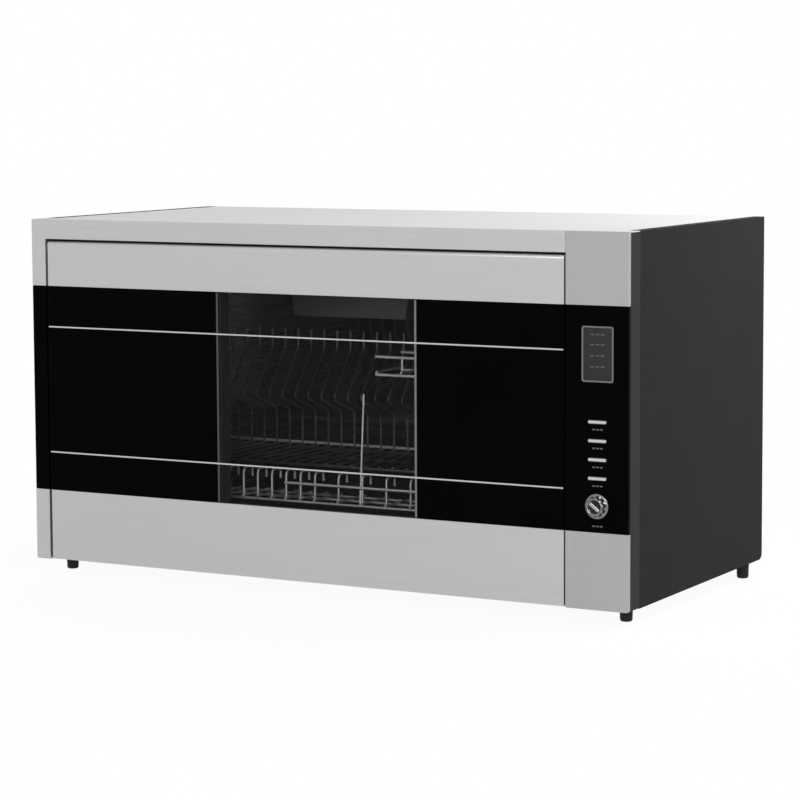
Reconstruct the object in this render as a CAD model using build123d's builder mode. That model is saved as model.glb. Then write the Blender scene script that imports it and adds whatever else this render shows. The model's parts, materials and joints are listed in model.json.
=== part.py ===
# Free-standing dish dryer: a wide cabinet with a lift-up glazed door, wire racks,
# a hot-air blower and a control column with a display, push buttons and a knob.
# Millimetres, +Z up, front towards -Y, origin on the floor under the cabinet's middle.
import os
from math import acos, cos, pi, sin, sqrt

from build123d import *

os.makedirs("parts", exist_ok=True)

# Cabinet
cabinet_width = 800.0
cabinet_depth = 400.0
cabinet_height = 420.0
sheet = 1.0
flange_width = 14.0
rear_corner_radius = 8.0
rear_gap = 24.0

# Feet
foot_height = 18.0
foot_top_radius = 7.6
foot_bottom_radius = 7.0
foot_edge = 1.6
foot_sides = 12
front_foot_inset = 22.0
front_foot_setback = 44.0
rear_foot_inset = 9.0
rear_foot_setback = 40.0
foot_bore_radius = 3.9
foot_bore_depth = 8.0

# Fascia: the front band, its trims and its frames
front_depth = 30.0
face_thickness = 5.0
trim_sheet = 1.0
frame_wall = 2.0
frame_plate = 1.5
stile_width = 20.0
column_width = 76.6
lower_band = 87.0
upper_band = 81.5
rail_height = 24.0
fascia_corner_radius = 2.5
joint_gap = 0.2

# Door
door_left_gap = 3.6
door_right_gap = 2.0
door_top_gap = 2.6
door_bottom_gap = 1.0
door_edge_radius = 4.0
tray_depth = 19.0
tray_sheet = 1.0
window_width = 263.7
window_offset = 1.35
sleeve_wall = 3.0
sleeve_cover = 6.0
pane_thickness = 4.0
pane_margin = 14.0
gasket_width = 8.0
gasket_inset = 2.0
gasket_clearance = 0.3
strip_width = 2.2
strip_proud = 0.9
upper_strip_drop = 50.0
lower_strip_rise = 47.0
strip_end_gap = 0.4

# Door hinge
hinge_setback = 9.0
hinge_drop = 9.5
hinge_pin_radius = 2.5
hinge_running_clearance = 0.06
hinge_seat_clearance = 0.02
bush_wall = 1.0
bush_length = 16.0
bush_sides = 12
pin_seat_length = 14.0
hinge_boss_height = 15.0
hinge_boss_depth = 11.0

# Mouth of the cavity, measured in from the door's edges
mouth_side_margin = 25.0
mouth_bottom_margin = 29.0
mouth_top_margin = 19.0

# Controls, stacked down the column and spaced in pitches of the buttons
control_offset = 0.8
display_width = 38.4
display_height = 62.0
display_top_margin = 22.5
display_rim = 2.0
bezel_proud = 1.0
display_recess = 0.8
button_count = 4
button_width = 23.6
button_height = 5.0
button_proud = 1.6
button_clearance = 0.4
button_flange = 1.6
button_flange_thickness = 1.8
button_travel = 1.2
stem_size = 3.0
stem_clearance = 0.1
switch_size = 6.0
switch_height = 4.5
display_gap_pitches = 2.1
knob_gap_pitches = 0.672
knob_radius = 14.2
knob_bottom_margin = 15.3
knob_proud = 9.5
knob_skirt_height = 2.2
knob_skirt_width = 2.8
knob_flutes = 10
knob_sides = 30
knob_flute_depth = 1.5
knob_glass_gap = 0.6
knob_rim = 1.2
knob_dish_radius = 7.4
knob_dish_depth = 1.6
encoder_size = 12.0
encoder_bush_radius = 3.4
shaft_radius = 2.0
shaft_clearance = 0.06
board_setback = 13.0
board_thickness = 1.6
board_margin = 4.0
post_size = 6.0

# Racks
wire = 2.8
rail_wire = 3.6
rack_end_gap = 7.0
cup_rack_front = 44.0
cup_rack_back = 108.0
cup_rack_height = 88.0
hook_height = 33.0
hook_reach = 20.0
hook_drop = 12.0
close_pitch = 19.9
wide_pitch = 32.3
pitch_change_offset = 326.2
mid_rail_rise = 22.5
cup_post_height = 130.0
cup_post_lean = 10.5
cup_post_slot = 2
plate_rack_front = 116.0
plate_rack_back = 262.0
plate_rack_rise = 33.5
divider_pitch = 19.1
divider_end_gap = 21.5
divider_span = 490.0
divider_kink_height = 46.0
divider_nose_reach = 50.0
divider_nose_height = 66.0
divider_nose_length = 5.0
divider_lean_reach = 40.0
divider_tip_length = 22.0
divider_top_height = 149.0
weld_gap = 0.02
bracket_sheet = 1.2
bracket_ledge = 12.0
bracket_web = 14.0
shelf_length = 238.0
shelf_depth = 62.0
shelf_height = 245.0
shelf_fence = 21.0
tray_height = 14.0
tray_margin = 8.0

# Cover under the ceiling, with the ozone generator inside
ozone_width = 179.0
ozone_depth = 90.0
ozone_height = 74.0
ozone_offset = 224.0
ozone_front = 150.0
ozone_slope = 12.0
ozone_slots = 9
ozone_slot_width = 4.0

# Blower, heater and duct in the right compartment
wheel_radius = 54.0
wheel_width = 32.0
wheel_blades = 14
blade_length = 9.0
blade_thickness = 1.4
blade_lean = 35.0
wheel_disc = 1.6
scroll_start = 60.0
scroll_growth = 21.0
scroll_steps = 26
scroll_wall = 1.5
scroll_width = 40.0
scroll_outlet_height = 96.0
scroll_outlet_inner = 36.0
scroll_eye_radius = 40.0
scroll_standoff = 12.0
standoff_radius = 5.0
blower_rear = 118.0
blower_height = 128.0
blower_shaft_radius = 3.0
motor_radius = 27.0
motor_length = 32.0
heater_height = 38.0
heater_slots = 7
heater_slot_width = 3.0
heater_wall = 3.0
duct_height = 52.0
inlet_slots = 5
inlet_slot_height = 4.0

# Back panel, gland and power board
louvre_depth = 5.0
louvre_rise = 9.0
louvre_pitch = 20.0
louvre_rows = 4
louvre_width = 120.0
intake_width = 66.0
gland_radius = 6.5
gland_bore = 4.0
gland_flange = 9.5
gland_proud = 10.0
gland_inside = 8.0
gland_height = 45.0
screw_sides = 6
screw_radius = 1.6
screw_head_radius = 3.6
screw_head_height = 2.2
screw_length = 7.0
screw_clearance = 0.2
power_board_length = 110.0
power_board_width = 70.0
power_board_front = 60.0

# Planes of the cabinet
x_right = cabinet_width / 2
x_left = -x_right
y_front = -cabinet_depth / 2
y_rear = cabinet_depth / 2
z_base = foot_height
z_top = z_base + cabinet_height
face_back = y_front + face_thickness
band_back = y_front + front_depth
frame_back = band_back + frame_plate
glass_low = z_base + lower_band
glass_high = z_top - upper_band
rail_low = z_top - rail_height
stile_edge = x_left + stile_width
column_edge = x_right - column_width
column_x = (column_edge + x_right) / 2 + control_offset
floor_top = z_base + 2 * sheet
back_out = y_rear - sheet

screw_hole = screw_radius + screw_clearance

# Door, mouth and liner ranges
door_x = (stile_edge + door_left_gap, column_edge - door_right_gap)
door_z = (z_base + door_bottom_gap, rail_low - door_top_gap)
tray_back = face_back + tray_depth
window_x = (window_offset - window_width / 2, window_offset + window_width / 2)
sleeve_x = (window_x[0] - sleeve_wall, window_x[1] + sleeve_wall)
sleeve_z = (glass_low - sleeve_cover, glass_high + sleeve_cover)
mouth_x = (door_x[0] + mouth_side_margin, door_x[1] - mouth_side_margin)
mouth_z = (door_z[0] + mouth_bottom_margin, door_z[1] - mouth_top_margin)
liner_back = y_rear - rear_gap
hinge_y = y_front + hinge_setback
hinge_z = door_z[1] - hinge_drop

# Heights of the controls
knob_z = glass_low + knob_bottom_margin + knob_radius
knob_top = knob_z + knob_radius
display_low = glass_high - display_top_margin - display_height
button_pitch = (display_low - knob_top - button_height / 2) / (
    display_gap_pitches + button_count - 1 + knob_gap_pitches
)
display_z = display_low + display_height / 2
button_z = [
    display_low - (display_gap_pitches + row) * button_pitch for row in range(button_count)
]
board_front = y_front + board_setback
button_opening = button_flange + button_clearance


def front_plane(y):
    """A sketch plane at depth y that faces the front, with axes X and Z."""
    return Plane.XZ.offset(-y)


def side_plane(x):
    """A sketch plane at x that faces +X, with axes Y and Z."""
    return Plane.YZ.offset(x)


def level_plane(z):
    """A sketch plane at height z, with axes X and Y."""
    return Plane.XY.offset(z)


def span_rectangle(u, v, mode=Mode.ADD):
    """A rectangle over the range u on the sketch's first axis and v on its second."""
    with Locations(((u[0] + u[1]) / 2, (v[0] + v[1]) / 2)):
        Rectangle(u[1] - u[0], v[1] - v[0], mode=mode)


def grown(span, margin):
    """A range made longer by a margin at both ends."""
    return (span[0] - margin, span[1] + margin)


def middle(span):
    """The point halfway along a range."""
    return (span[0] + span[1]) / 2


def flat_panel(plane, u, v, thickness):
    """A plain sheet that is thickened from its sketch plane along the plane's normal."""
    with BuildPart() as panel:
        with BuildSketch(plane):
            span_rectangle(u, v)
        extrude(amount=thickness)
    return panel


def outer_low_corner(sketch, side):
    """The sketch's bottom corner on the cabinet's outer side: left for a negative side."""
    low_corners = sketch.vertices().group_by(Axis.Y)[0].sort_by(Axis.X)
    return low_corners[-1] if side > 0 else low_corners[0]


def folded_trim(outline, corner_radius=0):
    """A trim folded from sheet: a front skin with returned edges, open at the back."""
    with BuildPart() as trim:
        with BuildSketch(front_plane(face_back)) as face:
            with BuildLine():
                Polyline(*outline, close=True)
            make_face()
            if corner_radius:
                fillet(outer_low_corner(face, outline[0][0]), corner_radius)
        extrude(amount=face_thickness)
        offset(
            amount=-trim_sheet,
            openings=trim.faces().sort_by(Axis.Y)[-1],
            kind=Kind.INTERSECTION,
        )
    return trim


def lozenge(width, height, mode=Mode.ADD):
    """A button's outline: a long rectangle with its corners cut off."""
    side = width / 2
    top = height / 2
    cut = height / 3
    quarter = [(side, top - cut), (side - cut, top)]
    half = quarter + [(-x, y) for x, y in reversed(quarter)]
    Polygon(*half, *[(-x, -y) for x, y in half], mode=mode)


def corners(u, v):
    """The corners of a rectangle over two ranges, in order round it."""
    return [(u[0], v[0]), (u[1], v[0]), (u[1], v[1]), (u[0], v[1])]


def wire_section(size):
    """A six-sided wire section, with its flats above and below."""
    RegularPolygon(size / 2, 6, major_radius=False)


def rail(x, y, z, size=rail_wire):
    """A straight wire along X, centred on y and z."""
    with BuildSketch(side_plane(x[0])) as section:
        with Locations((y, z)):
            wire_section(size)
    extrude(section.sketch, amount=x[1] - x[0])


def cross_wire(x, y, z, size=wire):
    """A straight wire along Y, centred on x and z."""
    with BuildSketch(front_plane(y[1])) as section:
        with Locations((x, z)):
            wire_section(size)
    extrude(section.sketch, amount=y[1] - y[0])


def upright_wire(x, y, z, size=wire):
    """A straight wire along Z, centred on x and y."""
    with BuildSketch(level_plane(z[0])) as section:
        with Locations((x, y)):
            wire_section(size)
    extrude(section.sketch, amount=z[1] - z[0])


def bent_wire(points):
    """A wire bent in the YZ plane at x = 0, starting upwards."""
    with BuildPart() as bent:
        with BuildLine(side_plane(0)):
            Polyline(*points)
        with BuildSketch(level_plane(points[0][1])):
            with Locations((0, points[0][0])):
                wire_section(wire)
        sweep(transition=Transition.RIGHT)
    return bent


# Outer panels
with BuildPart() as left_side_panel:
    with BuildSketch(side_plane(x_left)) as side_outline:
        span_rectangle((band_back, y_rear), (z_base, z_top))
        fillet(side_outline.vertices().group_by(Axis.Y)[0].sort_by(Axis.X)[-1], rear_corner_radius)
    extrude(amount=flange_width)
    offset(
        amount=-sheet,
        openings=[left_side_panel.faces().sort_by(Axis.X)[-1], left_side_panel.faces().sort_by(Axis.Y)[0]],
        kind=Kind.INTERSECTION,
    )

with BuildPart() as right_side_panel:
    mirror(left_side_panel.part, about=Plane.YZ)

inner_x = (x_left + flange_width, x_right - flange_width)
with BuildPart() as top_panel:
    with BuildSketch(level_plane(z_top - sheet)):
        span_rectangle((x_left, x_right), (face_back, band_back - joint_gap))
        span_rectangle(grown(inner_x, -joint_gap), (face_back, y_rear))
    extrude(amount=sheet)
    with BuildSketch(front_plane(y_rear)):
        span_rectangle(grown(inner_x, -joint_gap), (z_top - flange_width, z_top))
    extrude(amount=sheet)

front_feet = [(side * (x_right - front_foot_inset), y_front + front_foot_setback) for side in (-1, 1)]
rear_feet = [(side * (x_right - rear_foot_inset), y_rear - rear_foot_setback) for side in (-1, 1)]
foot_places = front_feet + rear_feet
compartment_x = (mouth_x[1] + sheet, x_right - sheet)
with BuildPart() as bottom_panel:
    with BuildSketch(level_plane(floor_top - sheet)):
        span_rectangle((x_left + sheet, x_right - sheet), (band_back, y_rear - rear_corner_radius))
        span_rectangle(grown(inner_x, -joint_gap), (band_back, y_rear))
        with Locations(*foot_places):
            RegularPolygon(screw_hole, screw_sides, mode=Mode.SUBTRACT)
        with Locations((middle(compartment_x), y_rear - blower_rear)):
            with GridLocations(0, louvre_pitch / 2, 1, louvre_rows):
                Rectangle(intake_width / 2, inlet_slot_height, mode=Mode.SUBTRACT)
    extrude(amount=sheet)
    with BuildSketch(front_plane(y_rear)):
        span_rectangle(grown(inner_x, -joint_gap), (floor_top - sheet, floor_top + flange_width))
    extrude(amount=sheet)

# Back panel with pressed louvres
exhaust_x = middle(mouth_x)
intake_x = middle(compartment_x)
exhaust_z = mouth_z[1] - louvre_rows * louvre_pitch / 2
intake_z = z_base + blower_height
gland_z = z_base + gland_height
edge_screws_z = [z_base + cabinet_height * part for part in (0.2, 0.8)]
edge_screws_x = [cabinet_width * part for part in (-0.25, 0.25)]
flange_middle = flange_width / 2
back_screws = [(side * (x_right - flange_middle), z) for side in (-1, 1) for z in edge_screws_z]
back_screws += [(x, z) for x in edge_screws_x for z in (floor_top + flange_middle, z_top - flange_middle)]
louvres = [
    (x, width, z + (row - (louvre_rows - 1) / 2) * louvre_pitch)
    for x, width, z in (
        (exhaust_x - louvre_width, louvre_width, exhaust_z),
        (exhaust_x + louvre_width, louvre_width, exhaust_z),
        (intake_x, intake_width, intake_z),
    )
    for row in range(louvre_rows)
]
with BuildPart() as back_panel:
    with BuildSketch(front_plane(back_out)):
        span_rectangle((x_left + sheet, x_right - sheet), (z_base + rear_corner_radius, z_top - sheet))
        span_rectangle(grown(inner_x, -joint_gap), (floor_top, z_top - sheet))
        with Locations((intake_x, gland_z)):
            Circle(gland_radius + screw_clearance, mode=Mode.SUBTRACT)
        with Locations(*back_screws):
            RegularPolygon(screw_hole, screw_sides, mode=Mode.SUBTRACT)
        for x, width, z in louvres:
            with Locations((x, z)):
                Rectangle(width, louvre_rise - 2 * sheet, mode=Mode.SUBTRACT)
    extrude(amount=sheet)
    for x, width, z in louvres:
        with BuildSketch(side_plane(x - width / 2)):
            with BuildLine():
                Polyline(
                    (back_out, z + louvre_rise / 2),
                    (back_out + louvre_depth, z - louvre_rise / 2),
                    (back_out + louvre_depth - sheet, z - louvre_rise / 2),
                    (back_out - sheet, z + louvre_rise / 2 - sheet),
                    (back_out - sheet, z + louvre_rise / 2),
                    close=True,
                )
            make_face()
        extrude(amount=width)

for panel in (left_side_panel, right_side_panel, top_panel, bottom_panel):
    with panel:
        with BuildSketch(front_plane(y_rear)):
            with Locations(*back_screws):
                RegularPolygon(screw_hole, screw_sides)
        extrude(amount=sheet, mode=Mode.SUBTRACT)
for panel in (left_side_panel, right_side_panel):
    with panel:
        with BuildSketch(level_plane(z_base)):
            with Locations(*rear_feet):
                RegularPolygon(screw_hole, screw_sides)
        extrude(amount=sheet, mode=Mode.SUBTRACT)

with BuildPart() as back_panel_screws:
    with BuildSketch(front_plane(y_rear + screw_head_height)):
        with Locations(*back_screws):
            RegularPolygon(screw_head_radius, screw_sides)
    extrude(amount=screw_head_height)
    with BuildSketch(front_plane(y_rear)):
        with Locations(*back_screws):
            RegularPolygon(screw_radius, screw_sides)
    extrude(amount=screw_length)

gland_back = back_out - sheet - gland_inside
with BuildPart() as cord_gland:
    with BuildSketch(front_plane(back_out)):
        with Locations((intake_x, gland_z)):
            Circle(gland_radius)
    extrude(amount=back_out - gland_back)
    with BuildSketch(front_plane(back_out + gland_proud)):
        with Locations((intake_x, gland_z)):
            RegularPolygon(gland_flange, 6)
    extrude(amount=gland_proud)
    with BuildSketch(front_plane(back_out + gland_proud)):
        with Locations((intake_x, gland_z)):
            Circle(gland_bore)
    extrude(amount=back_out + gland_proud - gland_back, mode=Mode.SUBTRACT)


# Feet: the front pair under the bottom panel, the rear pair under the side panels' flanges
def rubber_foot(seat):
    """A foot at the origin whose top is at the height of its seat."""
    profile = (
        (0, foot_bottom_radius - foot_edge),
        (foot_edge, foot_bottom_radius),
        (seat, foot_top_radius),
    )
    with BuildPart() as foot:
        for (low, low_radius), (high, high_radius) in zip(profile, profile[1:]):
            with BuildSketch(level_plane(low)):
                RegularPolygon(low_radius, foot_sides)
            with BuildSketch(level_plane(high)):
                RegularPolygon(high_radius, foot_sides)
            loft(ruled=True)
        with BuildSketch(level_plane(0)):
            RegularPolygon(foot_bore_radius, foot_sides)
        extrude(amount=foot_bore_depth, mode=Mode.SUBTRACT)
        with BuildSketch(level_plane(0)):
            RegularPolygon(screw_hole, screw_sides)
        extrude(amount=seat, mode=Mode.SUBTRACT)
    return foot


front_foot = rubber_foot(z_base + sheet)
rear_foot = rubber_foot(z_base)
with BuildPart() as feet:
    with Locations(*[(x, y, 0) for x, y in front_feet]):
        add(front_foot.part)
    with Locations(*[(x, y, 0) for x, y in rear_feet]):
        add(rear_foot.part)

with BuildPart() as foot_screws:
    with BuildSketch(level_plane(foot_bore_depth - screw_head_height)):
        with Locations(*foot_places):
            RegularPolygon(screw_head_radius, screw_sides)
    extrude(amount=screw_head_height)
    with BuildSketch(level_plane(foot_bore_depth)):
        with Locations(*foot_places):
            RegularPolygon(screw_radius, screw_sides)
    extrude(amount=floor_top + screw_length - foot_bore_depth)

# Front frame behind the fascia, with the cavity's mouth and the wiring window
wiring_x = grown((column_edge, x_right - flange_width), -frame_wall * 4)
with BuildPart() as front_frame:
    with BuildSketch(front_plane(frame_back)):
        span_rectangle(grown(inner_x, -joint_gap), (floor_top, z_top - sheet))
        span_rectangle(mouth_x, mouth_z, mode=Mode.SUBTRACT)
        span_rectangle(wiring_x, (glass_low, glass_high), mode=Mode.SUBTRACT)
    extrude(amount=frame_plate)

# Fascia frames: channels that are open at the back
pin_left = (stile_edge - pin_seat_length, door_x[0] + bush_length - joint_gap)
pin_right = (door_x[1] - bush_length + joint_gap, column_edge + pin_seat_length)
boss_z = (hinge_z - hinge_boss_height / 2, hinge_z + hinge_boss_height / 2)
boss_back = face_back + hinge_boss_depth


def channel_frame(x, z, corner_radius=0):
    """A moulded channel with a closed front and ends, open at the back."""
    with BuildPart() as frame:
        with BuildSketch(front_plane(band_back)) as outline:
            span_rectangle(x, z)
            if corner_radius:
                fillet(outer_low_corner(outline, middle(x)), corner_radius)
        extrude(amount=band_back - face_back)
        offset(
            amount=-frame_wall,
            openings=frame.faces().sort_by(Axis.Y)[-1],
            kind=Kind.INTERSECTION,
        )
    return frame


def hinge_block(x, top):
    """Adds the block round a hinge pin or bush to the part in hand."""
    with BuildSketch(front_plane(boss_back)) as block:
        span_rectangle(x, (boss_z[0], top))
    extrude(block.sketch, amount=hinge_boss_depth)


def pin_seat(x):
    """Cuts the round seat of a hinge pin from the part in hand."""
    with BuildSketch(side_plane(x[0])) as seat:
        with Locations((hinge_y, hinge_z)):
            Circle(hinge_pin_radius + hinge_seat_clearance)
    extrude(seat.sketch, amount=x[1] - x[0], mode=Mode.SUBTRACT)


left_boss_x = (pin_left[0], stile_edge)
right_boss_x = (column_edge, pin_right[1])
with BuildPart() as left_stile_frame:
    add(channel_frame((x_left, stile_edge), (z_base, z_top - sheet), fascia_corner_radius).part)
    hinge_block(left_boss_x, boss_z[1])
    pin_seat(left_boss_x)

top_rail_frame = channel_frame((stile_edge, column_edge), (rail_low, z_top - sheet))

board_x = grown((column_edge + frame_wall, x_right - frame_wall), -board_margin)
board_z = (knob_z - knob_radius, display_z + display_height / 2 + board_margin)
board_posts = corners(grown(board_x, -post_size / 2), grown(board_z, -post_size / 2))
with BuildPart() as control_column_frame:
    add(channel_frame((column_edge, x_right), (z_base, z_top - sheet), fascia_corner_radius).part)
    hinge_block(right_boss_x, boss_z[1])
    pin_seat(right_boss_x)
    with BuildSketch(front_plane(face_back + frame_wall)):
        with Locations((column_x, display_z)):
            Rectangle(display_width - display_rim, display_height - display_rim)
        with Locations(*[(column_x, z) for z in button_z]):
            Rectangle(button_width + 2 * button_opening, button_height + 2 * button_opening)
        with Locations((column_x, knob_z)):
            Rectangle(encoder_size + joint_gap, encoder_size + joint_gap)
    extrude(amount=frame_wall, mode=Mode.SUBTRACT)
    with BuildSketch(front_plane(board_front)):
        with Locations(*board_posts):
            Rectangle(post_size, post_size)
    extrude(amount=board_front - face_back)

# Front trims and fixed glass
stile_x = (x_left, stile_edge)
column_span = (column_edge, x_right)
top_rail_trim = folded_trim(
    [
        (x_left, glass_high + joint_gap),
        (stile_edge, glass_high + joint_gap),
        (stile_edge, rail_low),
        (column_edge - joint_gap, rail_low),
        (column_edge - joint_gap, z_top),
        (x_left, z_top),
    ]
)
lower_trim_z = (z_base, glass_low - joint_gap)
left_stile_lower_trim = folded_trim(corners(stile_x, lower_trim_z), fascia_corner_radius)
left_stile_glass = flat_panel(front_plane(face_back), stile_x, (glass_low, glass_high), face_thickness)
column_upper_trim = folded_trim(corners(column_span, (glass_high + joint_gap, z_top)))
column_lower_trim = folded_trim(corners(column_span, lower_trim_z), fascia_corner_radius)

with BuildPart() as control_glass:
    with BuildSketch(front_plane(face_back)):
        span_rectangle(column_span, (glass_low, glass_high))
        with Locations((column_x, display_z)):
            Rectangle(display_width - display_rim, display_height - display_rim, mode=Mode.SUBTRACT)
        with Locations(*[(column_x, z) for z in button_z]):
            lozenge(
                button_width + 2 * button_clearance,
                button_height + 2 * button_clearance,
                mode=Mode.SUBTRACT,
            )
        with Locations((column_x, knob_z)):
            RegularPolygon(encoder_bush_radius + button_clearance, bush_sides, mode=Mode.SUBTRACT)
    extrude(amount=face_thickness)

# Display: a rim on the glass with a skirt through it, and the module behind
bezel_opening = (display_width - 2 * display_rim, display_height - 2 * display_rim)
with BuildPart() as display_bezel:
    with BuildSketch(front_plane(y_front)):
        with Locations((column_x, display_z)):
            RectangleRounded(display_width, display_height, display_rim / 2)
            Rectangle(*bezel_opening, mode=Mode.SUBTRACT)
    extrude(amount=bezel_proud)
    with BuildSketch(front_plane(face_back + frame_wall)):
        with Locations((column_x, display_z)):
            Rectangle(*[size + 2 * (display_rim / 2 - joint_gap) for size in bezel_opening])
            Rectangle(*bezel_opening, mode=Mode.SUBTRACT)
    extrude(amount=face_thickness + frame_wall)

with BuildPart() as display_module:
    with BuildSketch(front_plane(board_front)):
        with Locations((column_x, display_z)):
            Rectangle(*[size - 2 * joint_gap for size in bezel_opening])
    extrude(amount=board_front - y_front + bezel_proud - display_recess)

with BuildPart() as control_board:
    with BuildSketch(front_plane(board_front + board_thickness)):
        span_rectangle(board_x, board_z)
    extrude(amount=board_thickness)
    with BuildSketch(front_plane(board_front + board_thickness + encoder_size)):
        with Locations((column_x, middle(board_z))):
            Rectangle(encoder_size * 2, encoder_size)
    extrude(amount=encoder_size)

# Buttons: capsule caps with a hidden flange and a stem that enters a switch
button_tip = y_front - button_proud
flange_front = face_back + button_clearance
flange_back = flange_front + button_flange_thickness
switch_front = board_front - switch_height
stem_end = switch_front + stem_size / 2
socket_end = stem_end + button_travel + stem_clearance


def push_button(z):
    """One button at height z: cap, flange and stem in one moulding."""
    with BuildPart() as button:
        with BuildSketch(front_plane(flange_front)):
            with Locations((column_x, z)):
                lozenge(button_width, button_height)
        extrude(amount=flange_front - button_tip)
        with BuildSketch(front_plane(flange_back)):
            with Locations((column_x, z)):
                Rectangle(button_width + 2 * button_flange, button_height + 2 * button_flange)
        extrude(amount=button_flange_thickness)
        with BuildSketch(front_plane(stem_end)):
            with Locations((column_x, z)):
                Rectangle(stem_size, stem_size)
        extrude(amount=stem_end - flange_back)
    return button


buttons = [push_button(z) for z in button_z]

with BuildPart() as button_switches:
    with BuildSketch(front_plane(board_front)):
        with Locations(*[(column_x, z) for z in button_z]):
            Rectangle(switch_size, switch_size)
    extrude(amount=switch_height)
    with BuildSketch(front_plane(socket_end)):
        with Locations(*[(column_x, z) for z in button_z]):
            Rectangle(stem_size + 2 * stem_clearance, stem_size + 2 * stem_clearance)
    extrude(amount=socket_end - switch_front, mode=Mode.SUBTRACT)

# Knob on its encoder
knob_front = y_front - knob_proud
knob_back = y_front - knob_glass_gap
shaft_end = board_front - shaft_radius
encoder_front = face_back + frame_wall / 2
grip_radius = knob_radius - knob_skirt_width
grip_outline = [
    (radius * cos(pi * corner / knob_flutes), radius * sin(pi * corner / knob_flutes))
    for corner in range(2 * knob_flutes)
    for radius in (grip_radius - knob_flute_depth * (corner % 2),)
]


def knob_plane(y):
    """A sketch plane at depth y that faces the front, centred on the knob's axis."""
    return Plane(origin=(column_x, y, knob_z), x_dir=(1, 0, 0), z_dir=(0, -1, 0))


with BuildPart() as knob:
    with BuildSketch(knob_plane(knob_back)):
        RegularPolygon(knob_radius, knob_sides)
    extrude(amount=knob_skirt_height)
    with BuildSketch(knob_plane(knob_back - knob_skirt_height)):
        with BuildLine():
            Polyline(*grip_outline, close=True)
        make_face()
    extrude(amount=knob_back - knob_skirt_height - knob_front)
    chamfer(knob.faces().sort_by(Axis.Y)[0].edges(), knob_rim)
    with BuildSketch(knob_plane(knob_front + knob_dish_depth)):
        RegularPolygon(knob_dish_radius, knob_sides)
    extrude(amount=knob_dish_depth, mode=Mode.SUBTRACT)
    with BuildSketch(knob_plane(knob_back)):
        RegularPolygon(encoder_bush_radius + button_clearance, bush_sides)
    extrude(amount=knob_skirt_height, mode=Mode.SUBTRACT)
    with BuildSketch(knob_plane(shaft_end)):
        Circle(shaft_radius)
    extrude(amount=shaft_end - knob_back + knob_skirt_height)

with BuildPart() as encoder:
    with BuildSketch(front_plane(board_front)):
        with Locations((column_x, knob_z)):
            Rectangle(encoder_size, encoder_size)
    extrude(amount=board_front - encoder_front)
    with BuildSketch(front_plane(encoder_front)):
        with Locations((column_x, knob_z)):
            RegularPolygon(encoder_bush_radius, bush_sides)
    extrude(amount=encoder_front - y_front)
    with BuildSketch(front_plane(shaft_end + joint_gap)):
        with Locations((column_x, knob_z)):
            Circle(shaft_radius + shaft_clearance)
    extrude(amount=shaft_end + joint_gap - y_front, mode=Mode.SUBTRACT)

# Door: a pan-shaped tray with a tunnel for the window, faced with trims and glass
with BuildPart() as door_tray:
    with BuildSketch(front_plane(tray_back)):
        span_rectangle(door_x, door_z)
    extrude(amount=tray_depth)
    offset(
        amount=-tray_sheet,
        openings=door_tray.faces().sort_by(Axis.Y)[0],
        kind=Kind.INTERSECTION,
    )
    with BuildSketch(front_plane(tray_back)):
        span_rectangle(grown(sleeve_x, joint_gap + tray_sheet), grown(sleeve_z, joint_gap + tray_sheet))
    extrude(amount=tray_depth)
    with BuildSketch(front_plane(tray_back)):
        span_rectangle(grown(sleeve_x, joint_gap), grown(sleeve_z, joint_gap))
    extrude(amount=tray_depth, mode=Mode.SUBTRACT)
    tray_bosses = ((door_x[0], door_x[0] + bush_length), (door_x[1] - bush_length, door_x[1]))
    for boss_x in tray_bosses:
        hinge_block(boss_x, door_z[1])
        with BuildSketch(side_plane(boss_x[0])):
            with Locations((hinge_y, hinge_z)):
                RegularPolygon(hinge_pin_radius + bush_wall + hinge_seat_clearance, bush_sides)
        extrude(amount=bush_length, mode=Mode.SUBTRACT)

with BuildPart() as door_upper_trim:
    with BuildSketch(front_plane(face_back)):
        span_rectangle(door_x, (glass_high + joint_gap, door_z[1]))
    extrude(amount=face_thickness)
    fillet(
        door_upper_trim.faces().sort_by(Axis.Y)[0].edges().sort_by(Axis.Z)[-1],
        min(door_edge_radius, face_thickness - joint_gap),
    )
    offset(
        amount=-trim_sheet,
        openings=door_upper_trim.faces().sort_by(Axis.Y)[-1],
        kind=Kind.INTERSECTION,
    )

door_lower_trim = folded_trim(corners(door_x, (door_z[0], glass_low - joint_gap)))
door_glass = flat_panel(front_plane(face_back), door_x, (glass_low, glass_high), face_thickness)

with BuildPart() as window_sleeve:
    with BuildSketch(front_plane(tray_back)):
        span_rectangle(sleeve_x, sleeve_z)
        span_rectangle(window_x, grown(sleeve_z, -sleeve_wall), mode=Mode.SUBTRACT)
    extrude(amount=tray_depth)

inner_pane = flat_panel(
    front_plane(tray_back + pane_thickness),
    grown(window_x, pane_margin),
    grown(sleeve_z, pane_margin - sleeve_wall),
    pane_thickness,
)

with BuildPart() as door_gasket:
    with BuildSketch(front_plane(band_back - gasket_clearance)):
        span_rectangle(
            grown(mouth_x, gasket_inset + gasket_width), grown(mouth_z, gasket_inset + gasket_width)
        )
        span_rectangle(grown(mouth_x, gasket_inset), grown(mouth_z, gasket_inset), mode=Mode.SUBTRACT)
    extrude(amount=band_back - gasket_clearance - tray_back)

with BuildPart() as glass_strips:
    for z in (glass_high - upper_strip_drop, glass_low + lower_strip_rise):
        with BuildSketch(side_plane(door_x[0] + strip_end_gap)):
            with BuildLine():
                Line((y_front, z - strip_width / 2), (y_front, z + strip_width / 2))
                ThreePointArc(
                    (y_front, z + strip_width / 2),
                    (y_front - strip_proud, z),
                    (y_front, z - strip_width / 2),
                )
            make_face()
        extrude(amount=door_x[1] - door_x[0] - 2 * strip_end_gap)

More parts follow.
